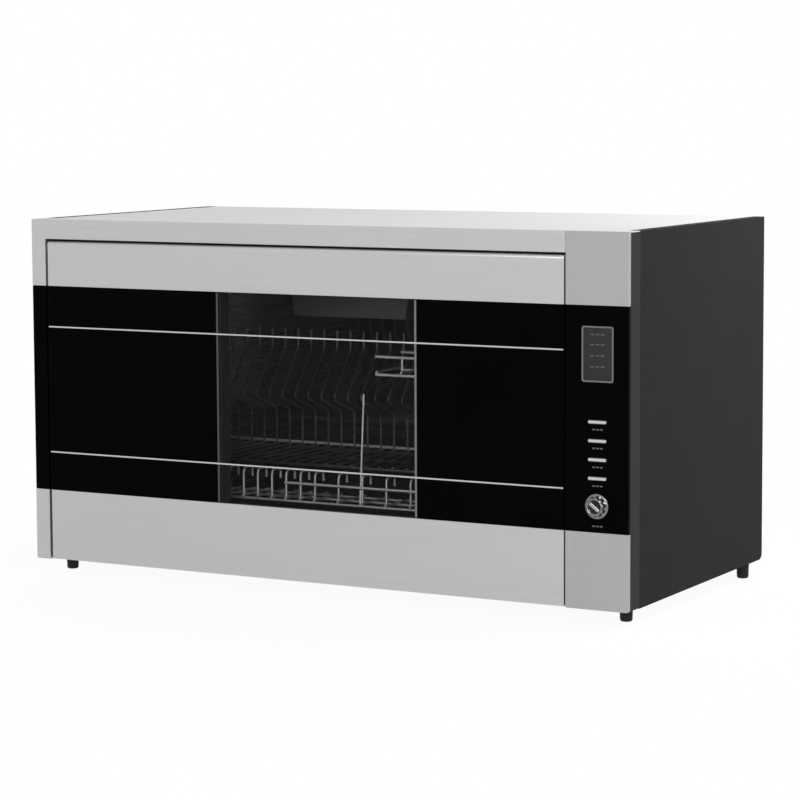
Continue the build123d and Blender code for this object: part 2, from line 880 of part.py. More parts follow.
# Hinge pins in the fascia frames and bushes in the door
with BuildPart() as hinge_pins:
    for x in (pin_left, pin_right):
        with BuildSketch(side_plane(x[0])):
            with Locations((hinge_y, hinge_z)):
                Circle(hinge_pin_radius)
        extrude(amount=x[1] - x[0])

with BuildPart() as hinge_bushes:
    for x in tray_bosses:
        with BuildSketch(side_plane(x[0])):
            with Locations((hinge_y, hinge_z)):
                RegularPolygon(hinge_pin_radius + bush_wall, bush_sides)
                Circle(hinge_pin_radius + hinge_running_clearance, mode=Mode.SUBTRACT)
        extrude(amount=x[1] - x[0])

# Liner sheets round the cavity
liner_y = (frame_back, liner_back)
liner_floor = flat_panel(level_plane(mouth_z[0] - sheet), grown(mouth_x, sheet), liner_y, sheet)
liner_ceiling = flat_panel(level_plane(mouth_z[1]), grown(mouth_x, sheet), liner_y, sheet)
liner_left_wall = flat_panel(side_plane(mouth_x[0] - sheet), liner_y, mouth_z, sheet)

blower_y = y_rear - blower_rear
blower_z = z_base + blower_height
outlet_top = blower_z + scroll_outlet_height
heater_top = outlet_top + heater_height
scroll_reach = scroll_start + scroll_growth
outlet_y = (blower_y + scroll_outlet_inner, blower_y + scroll_reach)
inlet_length = outlet_y[1] - outlet_y[0] - 4 * scroll_wall
with BuildPart() as liner_right_wall:
    with BuildSketch(side_plane(mouth_x[1])):
        span_rectangle(liner_y, mouth_z)
        with Locations((middle(outlet_y), heater_top + duct_height / 2)):
            with GridLocations(0, 2 * inlet_slot_height, 1, inlet_slots):
                Rectangle(inlet_length, inlet_slot_height, mode=Mode.SUBTRACT)
    extrude(amount=sheet)

with BuildPart() as liner_back_wall:
    with BuildSketch(front_plane(liner_back + sheet)):
        span_rectangle(grown(mouth_x, sheet), grown(mouth_z, sheet))
        for x in (exhaust_x - louvre_width, exhaust_x + louvre_width):
            with Locations((x, exhaust_z)):
                with GridLocations(0, louvre_pitch / 2, 1, louvre_rows):
                    Rectangle(louvre_width, inlet_slot_height, mode=Mode.SUBTRACT)
    extrude(amount=sheet)

with BuildPart() as drip_tray:
    with BuildSketch(level_plane(mouth_z[0])):
        span_rectangle(grown(mouth_x, -tray_margin), grown(liner_y, -tray_margin))
    extrude(amount=tray_height)
    offset(
        amount=-sheet,
        openings=drip_tray.faces().sort_by(Axis.Z)[-1],
        kind=Kind.INTERSECTION,
    )

# Racks of welded wire, carried on ledges at the cavity's sides
rack_x = grown(mouth_x, -rack_end_gap)
cup_y = (y_front + cup_rack_front, y_front + cup_rack_back)
cup_rail_z = z_base + cup_rack_height
cup_floor_z = cup_rail_z + (rail_wire + wire) / 2 + weld_gap
plate_y = (y_front + plate_rack_front, y_front + plate_rack_back)
plate_rail_z = cup_rail_z + plate_rack_rise
plate_floor_z = plate_rail_z + (rail_wire + wire) / 2 + weld_gap
ledge_steps = ((cup_y, cup_rail_z), (plate_y, plate_rail_z))

with BuildPart() as left_bracket:
    for y, rail_z in ledge_steps:
        ledge_top = rail_z - rail_wire / 2
        with BuildSketch(front_plane(y[1] + rail_wire)):
            with BuildLine():
                Polyline(
                    (mouth_x[0], ledge_top),
                    (mouth_x[0] + bracket_ledge, ledge_top),
                    (mouth_x[0] + bracket_ledge, ledge_top - bracket_sheet),
                    (mouth_x[0] + bracket_sheet, ledge_top - bracket_sheet),
                    (mouth_x[0] + bracket_sheet, ledge_top - bracket_web),
                    (mouth_x[0], ledge_top - bracket_web),
                    close=True,
                )
            make_face()
        extrude(amount=y[1] - y[0] + 2 * rail_wire)

with BuildPart() as rack_brackets:
    add(left_bracket.part)
    mirror(left_bracket.part, about=Plane.YZ.offset(middle(mouth_x)))

# Plate rack: a base of rails and cross wires, and zigzag dividers standing on it
divider_count = int(divider_span / divider_pitch) + 1
divider_x = [rack_x[0] + divider_end_gap + index * divider_pitch for index in range(divider_count)]
divider_y = plate_y[1] - rail_wire
tie_y = divider_y + wire / 2 + rail_wire / sqrt(3) + weld_gap
with BuildPart() as plate_rack_base:
    for y in (plate_y[0] + rail_wire, middle(plate_y), plate_y[1] - rail_wire):
        rail(rack_x, y, plate_rail_z)
    for x in divider_x:
        cross_wire(x, (plate_y[0], tie_y + rail_wire), plate_floor_z)
    rail(rack_x, tie_y, plate_floor_z + (wire + rail_wire) / 2 + weld_gap)

divider_base = plate_floor_z + wire / 2
nose_y = divider_y - divider_nose_reach
nose_z = plate_floor_z + divider_nose_height
divider_foot = bent_wire(
    [
        (divider_y, divider_base),
        (divider_y, plate_floor_z + divider_kink_height),
        (nose_y, nose_z),
    ]
)
nose_rise = divider_nose_height - divider_kink_height
nose_slope = sqrt(divider_nose_reach**2 + nose_rise**2)
nose_top = nose_z + wire / 2 * divider_nose_reach / nose_slope
lean_start = (nose_y + wire / 2, nose_top + weld_gap)
lean_low = lean_start[1] + divider_nose_length
lean_high = plate_floor_z + divider_top_height - divider_tip_length
lean_rise = lean_high - lean_low
with BuildPart() as divider_top:
    with BuildSketch(level_plane(lean_start[1])):
        with Locations((0, lean_start[0])):
            wire_section(wire)
    extrude(amount=divider_nose_length)
    with BuildSketch(level_plane(lean_low)):
        with Locations((0, lean_start[0])):
            wire_section(wire)
    extrude(amount=sqrt(divider_lean_reach**2 + lean_rise**2), dir=(0, divider_lean_reach, lean_rise))
    with BuildSketch(level_plane(lean_high)):
        with Locations((0, lean_start[0] + divider_lean_reach)):
            wire_section(wire)
    extrude(amount=divider_tip_length)

with BuildPart() as plate_dividers:
    with Locations(*[(x, 0, 0) for x in divider_x]):
        add(divider_foot.part)
        add(divider_top.part)

# Cup rack: a low floor with hooked uprights along its front and one tall post
pitch_change = mouth_x[0] + pitch_change_offset
close_count = int((pitch_change - rack_x[0] - rail_wire) / close_pitch)
wide_count = int((rack_x[1] - pitch_change - rail_wire) / wide_pitch)
cup_x = [pitch_change - index * close_pitch for index in range(close_count, -1, -1)]
cup_x += [pitch_change + (index + 1) * wide_pitch for index in range(wide_count)]
with BuildPart() as cup_rack_base:
    for y in (cup_y[0], middle(cup_y), cup_y[1] - rail_wire):
        rail(rack_x, y, cup_rail_z)
    for x in cup_x:
        cross_wire(x, (cup_y[0] - rail_wire, cup_y[1]), cup_floor_z)

hook_base = cup_floor_z + wire / 2
hook = bent_wire(
    [
        (cup_y[0], hook_base),
        (cup_y[0], cup_floor_z + hook_height),
        (cup_y[0] + hook_reach, cup_floor_z + hook_height),
        (cup_y[0] + hook_reach, cup_floor_z + hook_height - hook_drop),
    ]
)
post_x = pitch_change + cup_post_slot * wide_pitch - 2 * wire / sqrt(3) - weld_gap
post_base = cup_rail_z + rail_wire / 2 + weld_gap
with BuildPart() as cup_rack_uprights:
    with Locations(*[(x, 0, 0) for x in cup_x]):
        add(hook.part)
    rail(
        (pitch_change - 2 * close_pitch, rack_x[1]),
        cup_y[0] - wire / 2 - rail_wire / sqrt(3) - weld_gap,
        cup_rail_z + mid_rail_rise,
    )
    with BuildSketch(level_plane(post_base)):
        with Locations((post_x, cup_y[0])):
            wire_section(wire)
    extrude(
        amount=sqrt(cup_post_lean**2 + cup_post_height**2), dir=(0, cup_post_lean, cup_post_height)
    )

# Hanging shelf on the right wall
shelf_x = (mouth_x[1] - shelf_length, mouth_x[1] - bracket_sheet)
shelf_y = (cup_y[0], cup_y[0] + shelf_depth)
shelf_z = z_base + shelf_height
with BuildPart() as hanging_shelf:
    with BuildSketch(side_plane(shelf_x[1])):
        span_rectangle(grown(shelf_y, rail_wire), (shelf_z - rail_wire, shelf_z + shelf_fence + rail_wire))
    extrude(amount=bracket_sheet)
    for y in shelf_y:
        for z in (shelf_z, shelf_z + shelf_fence):
            rail((shelf_x[0], shelf_x[1] - weld_gap), y, z)
    tie_x = [shelf_x[0] + wire + index * wide_pitch for index in range(int(shelf_length / wide_pitch))]
    tie_z = shelf_z + (rail_wire + wire) / 2 + weld_gap
    fence_z = (tie_z + wire / 2 + weld_gap, shelf_z + shelf_fence - rail_wire / 2 - weld_gap)
    for x in tie_x:
        cross_wire(x, grown(shelf_y, rail_wire), tie_z)
    for x in tie_x[1::2]:
        for y in shelf_y:
            upright_wire(x, y, fence_z)

# Cover under the ceiling, open at the top, with slots in its floor
ozone_x = (mouth_x[0] + ozone_offset, mouth_x[0] + ozone_offset + ozone_width)
ozone_y = (y_front + ozone_front, y_front + ozone_front + ozone_depth)
ozone_low = mouth_z[1] - ozone_height
with BuildPart() as ozone_cover:
    with BuildSketch(front_plane(ozone_y[1])):
        with BuildLine():
            Polyline(
                (ozone_x[0], mouth_z[1]),
                (ozone_x[0] + ozone_slope, ozone_low),
                (ozone_x[1] - ozone_slope, ozone_low),
                (ozone_x[1], mouth_z[1]),
                close=True,
            )
        make_face()
    extrude(amount=ozone_depth)
    offset(
        amount=-sheet,
        openings=ozone_cover.faces().sort_by(Axis.Z)[-1],
        kind=Kind.INTERSECTION,
    )
    with BuildSketch(level_plane(ozone_low)):
        with Locations((middle(ozone_x), middle(ozone_y))):
            with GridLocations(3 * ozone_slot_width, 0, ozone_slots, 1):
                Rectangle(ozone_slot_width, ozone_depth / 2, mode=Mode.ADD)
    extrude(amount=sheet, mode=Mode.SUBTRACT)

with BuildPart() as ozone_generator:
    with BuildSketch(level_plane(mouth_z[1])):
        with Locations((middle(ozone_x), middle(ozone_y))):
            Rectangle(ozone_width / 2, ozone_depth / 2)
    extrude(amount=-ozone_height / 2)
    fillet(ozone_generator.edges().filter_by(Axis.Z), ozone_slope / 2)

# Blower: a scroll housing of four arcs, a bladed wheel on its shaft, and a motor
scroll_x = (compartment_x[0] + scroll_standoff, compartment_x[0] + scroll_standoff + scroll_width)


def scroll_outline(inset, rise):
    """The scroll's spiral with its outlet, drawn in by a wall and raised at the outlet."""
    inner = scroll_outlet_inner + inset
    start_radius = scroll_start - inset
    start_angle = acos(inner / start_radius)
    top = scroll_outlet_height + rise
    points = [(inner, top)]
    for step in range(scroll_steps + 1):
        angle = start_angle + (2 * pi - start_angle) * step / scroll_steps
        radius = start_radius + scroll_growth * step / scroll_steps
        points.append((radius * cos(angle), radius * sin(angle)))
    points.append((scroll_reach - inset, top))
    with BuildLine() as spiral:
        Polyline(*points, close=True)
    make_face(spiral.edges())


def blower_plane(x):
    """A sketch plane across the blower's axis, centred on it."""
    return Plane(origin=(x, blower_y, blower_z), x_dir=(0, 1, 0), z_dir=(1, 0, 0))


with BuildPart() as blower_housing:
    with BuildSketch(blower_plane(scroll_x[0])):
        scroll_outline(0, 0)
    extrude(amount=scroll_width)
    with BuildSketch(blower_plane(scroll_x[0] + scroll_wall)):
        scroll_outline(scroll_wall, scroll_wall)
    extrude(amount=scroll_width - 2 * scroll_wall, mode=Mode.SUBTRACT)
    with BuildSketch(blower_plane(scroll_x[0])):
        RegularPolygon(scroll_eye_radius, wheel_blades)
    extrude(amount=scroll_wall, mode=Mode.SUBTRACT)
    with BuildSketch(blower_plane(scroll_x[1] - scroll_wall)):
        Circle(blower_shaft_radius + joint_gap)
    extrude(amount=scroll_wall, mode=Mode.SUBTRACT)
    with BuildSketch(blower_plane(compartment_x[0])):
        with PolarLocations(scroll_start - standoff_radius * 1.5, 3, start_angle=150):
            Rectangle(2 * standoff_radius, 2 * standoff_radius)
    extrude(amount=scroll_standoff)

wheel_x = (middle(scroll_x) - wheel_width / 2, middle(scroll_x) + wheel_width / 2)
with BuildPart() as blower_wheel:
    with BuildSketch(blower_plane(wheel_x[0])):
        with PolarLocations(wheel_radius - blade_length / 2 - wheel_disc, wheel_blades):
            Rectangle(blade_length, blade_thickness, rotation=blade_lean)
    extrude(amount=wheel_width)
    with BuildSketch(blower_plane(wheel_x[1] - wheel_disc)):
        RegularPolygon(wheel_radius, wheel_blades)
    extrude(amount=wheel_disc)
    with BuildSketch(blower_plane(wheel_x[0])):
        RegularPolygon(wheel_radius, wheel_blades)
        RegularPolygon(wheel_radius - blade_length, wheel_blades, mode=Mode.SUBTRACT)
    extrude(amount=wheel_disc)
    with BuildSketch(blower_plane(wheel_x[0] + wheel_width / 2)):
        RegularPolygon(blower_shaft_radius * 2.5, wheel_blades)
    extrude(amount=wheel_width / 2)
    with BuildSketch(blower_plane(wheel_x[1])):
        Circle(blower_shaft_radius)
    extrude(amount=scroll_x[1] + motor_length / 2 - wheel_x[1])

with BuildPart() as blower_motor:
    with BuildSketch(blower_plane(scroll_x[1])):
        RegularPolygon(motor_radius, wheel_blades)
    extrude(amount=motor_length)
    chamfer(blower_motor.faces().sort_by(Axis.X)[-1].edges(), motor_radius / 5)
    with BuildSketch(blower_plane(scroll_x[1])):
        Circle(blower_shaft_radius + shaft_clearance)
    extrude(amount=motor_length / 2 + joint_gap, mode=Mode.SUBTRACT)

# Heater block over the outlet, and the duct from it into the cavity
heater_x = scroll_x
with BuildPart() as heater:
    with BuildSketch(level_plane(outlet_top)):
        span_rectangle(heater_x, outlet_y)
        with Locations((middle(heater_x), middle(outlet_y))):
            heater_pitch = (outlet_y[1] - outlet_y[0] - 2 * heater_wall) / heater_slots
            with GridLocations(0, heater_pitch, 1, heater_slots):
                Rectangle(scroll_width - 2 * heater_wall, heater_slot_width, mode=Mode.SUBTRACT)
    extrude(amount=heater_height)

duct_x = (compartment_x[0], scroll_x[1])
with BuildPart() as air_duct:
    with BuildSketch(front_plane(outlet_y[1])):
        with BuildLine():
            Polyline(
                (duct_x[0], heater_top),
                (duct_x[1], heater_top),
                (duct_x[1], heater_top + duct_height / 2),
                (middle(duct_x), heater_top + duct_height),
                (duct_x[0], heater_top + duct_height),
                close=True,
            )
        make_face()
    extrude(amount=outlet_y[1] - outlet_y[0])
    offset(
        amount=-scroll_wall,
        openings=[air_duct.faces().sort_by(Axis.Z)[0], air_duct.faces().sort_by(Axis.X)[0]],
        kind=Kind.INTERSECTION,
    )
    with BuildSketch(level_plane(heater_top)):
        span_rectangle((duct_x[0] + scroll_wall, heater_x[0]), grown(outlet_y, -scroll_wall))
    extrude(amount=scroll_wall)

# Power board on the compartment's floor
power_y = (band_back + power_board_front, band_back + power_board_front + power_board_length)
with BuildPart() as power_board:
    with BuildSketch(level_plane(floor_top)):
        with Locations((column_x, middle(power_y))):
            Rectangle(power_board_width, power_board_length)
            Rectangle(power_board_width - 2 * post_size, power_board_length, mode=Mode.SUBTRACT)
    extrude(amount=encoder_size / 2)
    with BuildSketch(level_plane(floor_top + encoder_size / 2)):
        with Locations((column_x, middle(power_y))):
            Rectangle(power_board_width, power_board_length)
    extrude(amount=board_thickness)
    with BuildSketch(level_plane(floor_top + encoder_size / 2 + board_thickness)):
        with Locations((column_x, middle(power_y) - power_board_length / 4)):
            Rectangle(power_board_width / 2, power_board_length / 3)
    extrude(amount=encoder_size * 2.5)
    with BuildSketch(level_plane(floor_top + encoder_size / 2 + board_thickness)):
        with Locations((column_x, middle(power_y) + power_board_length / 4)):
            with GridLocations(power_board_width / 3, power_board_length / 5, 2, 2):
                RegularPolygon(encoder_size / 2, screw_sides)
    extrude(amount=encoder_size * 1.5)

pieces = {
    "left_side_panel": left_side_panel,
    "right_side_panel": right_side_panel,
    "top_panel": top_panel,
    "bottom_panel": bottom_panel,
    "back_panel": back_panel,
    "back_panel_screws": back_panel_screws,
    "cord_gland": cord_gland,
    "feet": feet,
    "foot_screws": foot_screws,
    "front_frame": front_frame,
    "left_stile_frame": left_stile_frame,
    "top_rail_frame": top_rail_frame,
    "control_column_frame": control_column_frame,
    "top_rail_trim": top_rail_trim,
    "left_stile_lower_trim": left_stile_lower_trim,
    "left_stile_glass": left_stile_glass,
    "column_upper_trim": column_upper_trim,
    "column_lower_trim": column_lower_trim,
    "control_glass": control_glass,
    "display_bezel": display_bezel,
    "display_module": display_module,
    "control_board": control_board,
    "button_switches": button_switches,
    "knob": knob,
    "encoder": encoder,
    "door_tray": door_tray,
    "door_upper_trim": door_upper_trim,
    "door_lower_trim": door_lower_trim,
    "door_glass": door_glass,
    "window_sleeve": window_sleeve,
    "inner_pane": inner_pane,
    "door_gasket": door_gasket,
    "glass_strips": glass_strips,
    "hinge_pins": hinge_pins,
    "hinge_bushes": hinge_bushes,
    "liner_floor": liner_floor,
    "liner_ceiling": liner_ceiling,
    "liner_left_wall": liner_left_wall,
    "liner_right_wall": liner_right_wall,
    "liner_back_wall": liner_back_wall,
    "drip_tray": drip_tray,
    "rack_brackets": rack_brackets,
    "plate_rack_base": plate_rack_base,
    "plate_dividers": plate_dividers,
    "cup_rack_base": cup_rack_base,
    "cup_rack_uprights": cup_rack_uprights,
    "hanging_shelf": hanging_shelf,
    "ozone_cover": ozone_cover,
    "ozone_generator": ozone_generator,
    "blower_housing": blower_housing,
    "blower_wheel": blower_wheel,
    "blower_motor": blower_motor,
    "heater": heater,
    "air_duct": air_duct,
    "power_board": power_board,
}
for number, button in enumerate(buttons, start=1):
    pieces[f"button_{number}"] = button

for name, piece in pieces.items():
    piece.part.label = name
    export_step(piece.part, f"parts/{name}.step")
print(len(pieces), "pieces written")
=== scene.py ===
import json
from math import cos, pi, radians, sin

import bmesh
import bpy
from mathutils import Matrix, Vector


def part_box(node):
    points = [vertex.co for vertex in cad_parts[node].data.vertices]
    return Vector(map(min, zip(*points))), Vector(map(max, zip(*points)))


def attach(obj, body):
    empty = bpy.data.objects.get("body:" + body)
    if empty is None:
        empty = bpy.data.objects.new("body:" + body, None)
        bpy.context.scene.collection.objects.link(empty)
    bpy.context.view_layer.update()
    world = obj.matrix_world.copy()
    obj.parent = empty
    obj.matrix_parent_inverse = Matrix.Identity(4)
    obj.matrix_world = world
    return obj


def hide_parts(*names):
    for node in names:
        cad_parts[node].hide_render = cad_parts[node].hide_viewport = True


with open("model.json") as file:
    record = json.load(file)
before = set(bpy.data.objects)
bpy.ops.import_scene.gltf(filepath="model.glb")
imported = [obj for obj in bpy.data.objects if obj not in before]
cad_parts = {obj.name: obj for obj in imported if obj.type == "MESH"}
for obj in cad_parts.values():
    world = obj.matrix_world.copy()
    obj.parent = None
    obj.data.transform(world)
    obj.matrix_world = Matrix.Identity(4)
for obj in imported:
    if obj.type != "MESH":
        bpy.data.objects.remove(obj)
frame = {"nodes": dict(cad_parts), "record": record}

# Sizes are in millimetres, and MM turns them into metres; only the stage is in metres
MM = 0.001
MICRON = 0.000001
X, Y, Z = range(3)
scene = bpy.context.scene
nodes = frame["nodes"]
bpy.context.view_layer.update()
node_slot = {row["node"]: row["material_slot"] for row in frame["record"]["subparts"]}


# Sizes read from the CAD pieces
def span(node, axis):
    """The two ends of a CAD piece's box along an axis."""
    low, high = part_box(node)
    return round(low[axis] / MM, 3), round(high[axis] / MM, 3)


def middle(node, axis):
    """The middle of a CAD piece's box along an axis."""
    return sum(span(node, axis)) / 2


def extent(node, axis):
    """The length of a CAD piece's box along an axis."""
    low, high = span(node, axis)
    return high - low


Y_FRONT, FACE_BACK = span("door_glass", Y)
DOOR_X = span("door_glass", X)
GLASS_Z = span("door_glass", Z)
SLEEVE_X = span("window_sleeve", X)
COLUMN_X = middle("knob", X)
CABINET_BACK = span("top_panel", Y)[1]


# Materials, with the noise's scales in cycles per metre and the bumps' depths in micrometres
GRAIN_X = (5.0, 420.0, 620.0)
GRAIN_Y = (420.0, 5.0, 620.0)
GRAIN_Z = (620.0, 420.0, 5.0)
CLOUDS = 9.0
SMEARS = 14.0
MOULDED_DEPTH = 40
PLATED_TONE = (0.93, 1.04)
GLASS_TONE = (0.85, 1.15)


def linear(level):
    """The linear value of an sRGB level between 0 and 255."""
    share = level / 255
    return share / 12.92 if share <= 0.04045 else ((share + 0.055) / 1.055) ** 2.4


def grey(level, warm=0.0):
    """A grey given by its sRGB level, slightly warm or neutral."""
    value = linear(level)
    return (value * (1 + warm), value, value * (1 - warm), 1.0)


class Finish:
    """A material built from one Principled shader and a few noise nodes in object space."""

    NOISE_RANGE = (0.3, 0.7)

    def __init__(self, name, base, metallic=0.0, specular=0.5):
        self.material = bpy.data.materials.new(name)
        self.material.use_nodes = True
        self.tree = self.material.node_tree
        self.shader = self.tree.nodes["Principled BSDF"]
        self.base = base
        self.shader.inputs["Base Color"].default_value = base
        self.shader.inputs["Metallic"].default_value = metallic
        self.shader.inputs["Specular IOR Level"].default_value = specular
        self.place = self.tree.nodes.new("ShaderNodeTexCoord")

    def link(self, output, socket):
        self.tree.links.new(output, socket)

    def noise(self, scale, detail=2.0, roughness=0.5):
        """A noise field whose scale, in cycles per metre, differs along X, Y and Z."""
        mapping = self.tree.nodes.new("ShaderNodeMapping")
        mapping.inputs["Scale"].default_value = scale
        field = self.tree.nodes.new("ShaderNodeTexNoise")
        field.inputs["Scale"].default_value = 1.0
        field.inputs["Detail"].default_value = detail
        field.inputs["Roughness"].default_value = roughness
        self.link(self.place.outputs["Object"], mapping.inputs["Vector"])
        self.link(mapping.outputs["Vector"], field.inputs["Vector"])
        return field.outputs["Fac"]

    def spread(self, field, low, high):
        """The noise's middle range mapped to low..high."""
        ranged = self.tree.nodes.new("ShaderNodeMapRange")
        ranged.inputs["From Min"].default_value = self.NOISE_RANGE[0]
        ranged.inputs["From Max"].default_value = self.NOISE_RANGE[1]
        ranged.inputs["To Min"].default_value = low
        ranged.inputs["To Max"].default_value = high
        self.link(field, ranged.inputs["Value"])
        return ranged.outputs["Result"]

    def tone(self, field, darker, lighter):
        """The base colour, made darker and lighter by the noise."""
        mix = self.tree.nodes.new("ShaderNodeMix")
        mix.data_type = "RGBA"
        mix.inputs["A"].default_value = [part * darker for part in self.base[:3]] + [1.0]
        mix.inputs["B"].default_value = [min(1.0, part * lighter) for part in self.base[:3]] + [1.0]
        self.link(self.spread(field, 0.0, 1.0), mix.inputs["Factor"])
        self.link(mix.outputs["Result"], self.shader.inputs["Base Color"])

    def rough(self, field, low, high):
        """A roughness that the noise moves between low and high."""
        self.link(self.spread(field, low, high), self.shader.inputs["Roughness"])

    def bump(self, field, depth):
        """A bump of that depth in micrometres."""
        node = self.tree.nodes.new("ShaderNodeBump")
        node.inputs["Strength"].default_value = 1.0
        node.inputs["Distance"].default_value = depth * MICRON
        self.link(field, node.inputs["Height"])
        self.link(node.outputs["Normal"], self.shader.inputs["Normal"])


def brushed(name, base, metallic, roughness, grain, contrast=0.05, depth=20):
    """Satin metal with a straight grain, and broader changes of its gloss along the same way."""
    finish = Finish(name, base, metallic=metallic)
    field = finish.noise(grain, detail=3.0, roughness=0.6)
    finish.tone(field, 1 - contrast, 1 + contrast)
    finish.rough(finish.noise([part * 0.5 for part in grain]), *roughness)
    finish.bump(field, depth)
    return finish.material


def moulded(name, base, roughness, specular=0.4, texture=900.0, contrast=0.06):
    """Moulded plastic, rubber, paint or print with a fine even texture and cloudy changes of tone."""
    finish = Finish(name, base, specular=specular)
    field = finish.noise([texture] * 3)
    finish.tone(finish.noise([CLOUDS] * 3, detail=3.0), 1 - contrast, 1 + contrast)
    finish.rough(field, *roughness)
    finish.bump(field, MOULDED_DEPTH)
    return finish.material


def bright(name, base, roughness, scale=(60.0, 60.0, 60.0)):
    """Plated metal: smooth, with a faint unevenness of its gloss."""
    finish = Finish(name, base, metallic=1.0)
    field = finish.noise(scale, detail=3.0)
    finish.tone(field, *PLATED_TONE)
    finish.rough(field, *roughness)
    return finish.material


def glassy(name, base, roughness, specular, alpha=1.0):
    """Flat glass: printed black, or see-through with alpha."""
    finish = Finish(name, base, specular=specular)
    smear = finish.noise([SMEARS] * 3, detail=4.0)
    finish.tone(smear, *GLASS_TONE)
    finish.rough(smear, *roughness)
    finish.shader.inputs["Alpha"].default_value = alpha
    return finish.material


# Sheet metal: base colour, metallic, roughness and grain
STEEL = brushed("steel_trim_finish", grey(181), 0.65, (0.3, 0.4), GRAIN_X, contrast=0.04, depth=6)
UPRIGHT_STEEL = brushed("upright_trim_finish", grey(162), 0.65, (0.3, 0.4), GRAIN_Z, contrast=0.04, depth=6)
LINER = brushed("liner_finish", grey(150), 0.85, (0.1, 0.18), GRAIN_X, contrast=0.06, depth=4)
LINER_SIDE = brushed("liner_side_finish", grey(196), 0.75, (0.22, 0.34), GRAIN_Y, contrast=0.06, depth=6)
BACK_WALL = brushed("back_wall_finish", grey(140), 0.9, (0.03, 0.08), GRAIN_X, contrast=0.06, depth=1)
COVER = brushed("cover_finish", grey(116), 0.4, (0.4, 0.55), GRAIN_X, contrast=0.06)
FRONT_PLATE = brushed("front_plate_finish", grey(110), 0.6, (0.38, 0.5), GRAIN_X, contrast=0.06)
TOP = brushed("top_sheet_finish", grey(191), 0.15, (0.34, 0.46), GRAIN_X, contrast=0.02, depth=10)
MOTOR = brushed("motor_finish", grey(150), 0.8, (0.35, 0.5), GRAIN_X)
HEATER = brushed("heater_finish", grey(185), 0.9, (0.35, 0.5), GRAIN_Y)
# A near-white, mostly matt copy of the rack wire, so that the tie rail shows a painted highlight
TIE_HIGHLIGHT = brushed("tie_rail_highlight_finish", grey(240), 0.1, (0.4, 0.52), GRAIN_X, contrast=0.03)

# Paint, plastic, rubber and print: base colour and roughness
PAINT = moulded("cabinet_paint_finish", grey(40), (0.5, 0.68), specular=0.02, texture=700.0, contrast=0.04)
BAND = moulded("front_band_finish", grey(44), (0.42, 0.55), specular=0.04, contrast=0.05)
BLACK = moulded("black_moulding_finish", grey(26), (0.42, 0.6), specular=0.3)
PALE = moulded("pale_moulding_finish", grey(56), (0.4, 0.55))
BEZEL = moulded("bezel_finish", grey(94), (0.3, 0.42))
RUBBER = moulded("rubber_finish", grey(30), (0.62, 0.8), specular=0.25, texture=1200.0)
COMPONENT = moulded("component_finish", grey(40), (0.45, 0.6))
DUCT = moulded("duct_finish", grey(150), (0.45, 0.6))
BUSH = moulded("bush_finish", grey(205, warm=0.03), (0.4, 0.5))
BOARD = moulded("board_finish", (0.008, 0.075, 0.03, 1.0), (0.3, 0.42), texture=300.0, contrast=0.2)
# A dark finish for a disc in the knob's dish: painted shade in the recess
DISH_SHADE = moulded("knob_dish_shade_finish", grey(30), (0.4, 0.55), specular=0.1)
MARK = moulded("printed_mark_finish", grey(76), (0.5, 0.6), texture=300.0)
PRINT = moulded("window_print_finish", grey(98), (0.5, 0.6), texture=300.0)
# A darker copy of the window print: painted shade on the left line
SHADED_PRINT = moulded("shaded_print_finish", grey(58), (0.5, 0.6), texture=300.0)

# Plated metal: base colour and roughness
CHROME = bright("chrome_finish", grey(122), (0.16, 0.26))
BRIGHT = bright("bright_strip_finish", grey(196), (0.2, 0.32), scale=(12.0, 300.0, 300.0))
WIRE = bright("rack_wire_finish", grey(250), (0.42, 0.54))
PLATE_WIRE = bright("plate_wire_finish", grey(150), (0.3, 0.42))
ZINC = bright("zinc_finish", grey(196, warm=0.02), (0.28, 0.4), scale=(200.0, 200.0, 200.0))
SATIN = bright("satin_button_finish", grey(196), (0.24, 0.34))
# A darker copy of the button plating: painted shade on the caps' rims and sides
BUTTON_SHADE = bright("button_rim_finish", grey(80), (0.3, 0.42))
GRIP = bright("grip_bar_finish", grey(168), (0.2, 0.3))

# Glass: base colour, roughness and specular level
BLACK_GLASS = glassy("black_glass_finish", (0.0010, 0.0010, 0.0012, 1.0), (0.03, 0.07), 0.012)
TINTED = glassy("tinted_glass_finish", (0.010, 0.010, 0.0105, 1.0), (0.02, 0.05), 0.02, alpha=0.24)
CLEAR = glassy("clear_glass_finish", (0.05, 0.054, 0.053, 1.0), (0.02, 0.05), 0.1, alpha=0.04)
DISPLAY = glassy("display_face_finish", (0.024, 0.024, 0.0255, 1.0), (0.1, 0.2), 0.1)

# The finish of each material slot in the record, and of the nodes that differ from their slot
slot_finish = {
    "steel_trim": STEEL,
    "cabinet_paint": PAINT,
    "plated_sheet": TOP,
    "liner_steel": LINER,
    "frame_black": BLACK,
    "black_glass": BLACK_GLASS,
    "door_glass": BLACK_GLASS,
    "clear_glass": CLEAR,
    "pale_plastic": PALE,
    "bright_metal": BRIGHT,
    "chrome_plastic": CHROME,
    "rack_wire": WIRE,
    "rubber": RUBBER,
    "bezel_grey": BEZEL,
    "display_black": DISPLAY,
    "board": BOARD,
    "component_black": COMPONENT,
    "motor_metal": MOTOR,
    "heater_block": HEATER,
    "duct_plastic": DUCT,
    "zinc": ZINC,
    "bush_plastic": BUSH,
}
node_finish = {
    "left_stile_frame": BAND,
    "control_column_frame": BAND,
    "front_frame": FRONT_PLATE,
    "column_upper_trim": UPRIGHT_STEEL,
    "column_lower_trim": UPRIGHT_STEEL,
    "ozone_cover": COVER,
    "liner_back_wall": BACK_WALL,
    "liner_left_wall": LINER_SIDE,
    "liner_right_wall": LINER_SIDE,
    "rack_brackets": LINER_SIDE,
}
for name, node in nodes.items():
    node.data.materials.clear()
    node.data.materials.append(node_finish.get(name, slot_finish[node_slot[name]]))

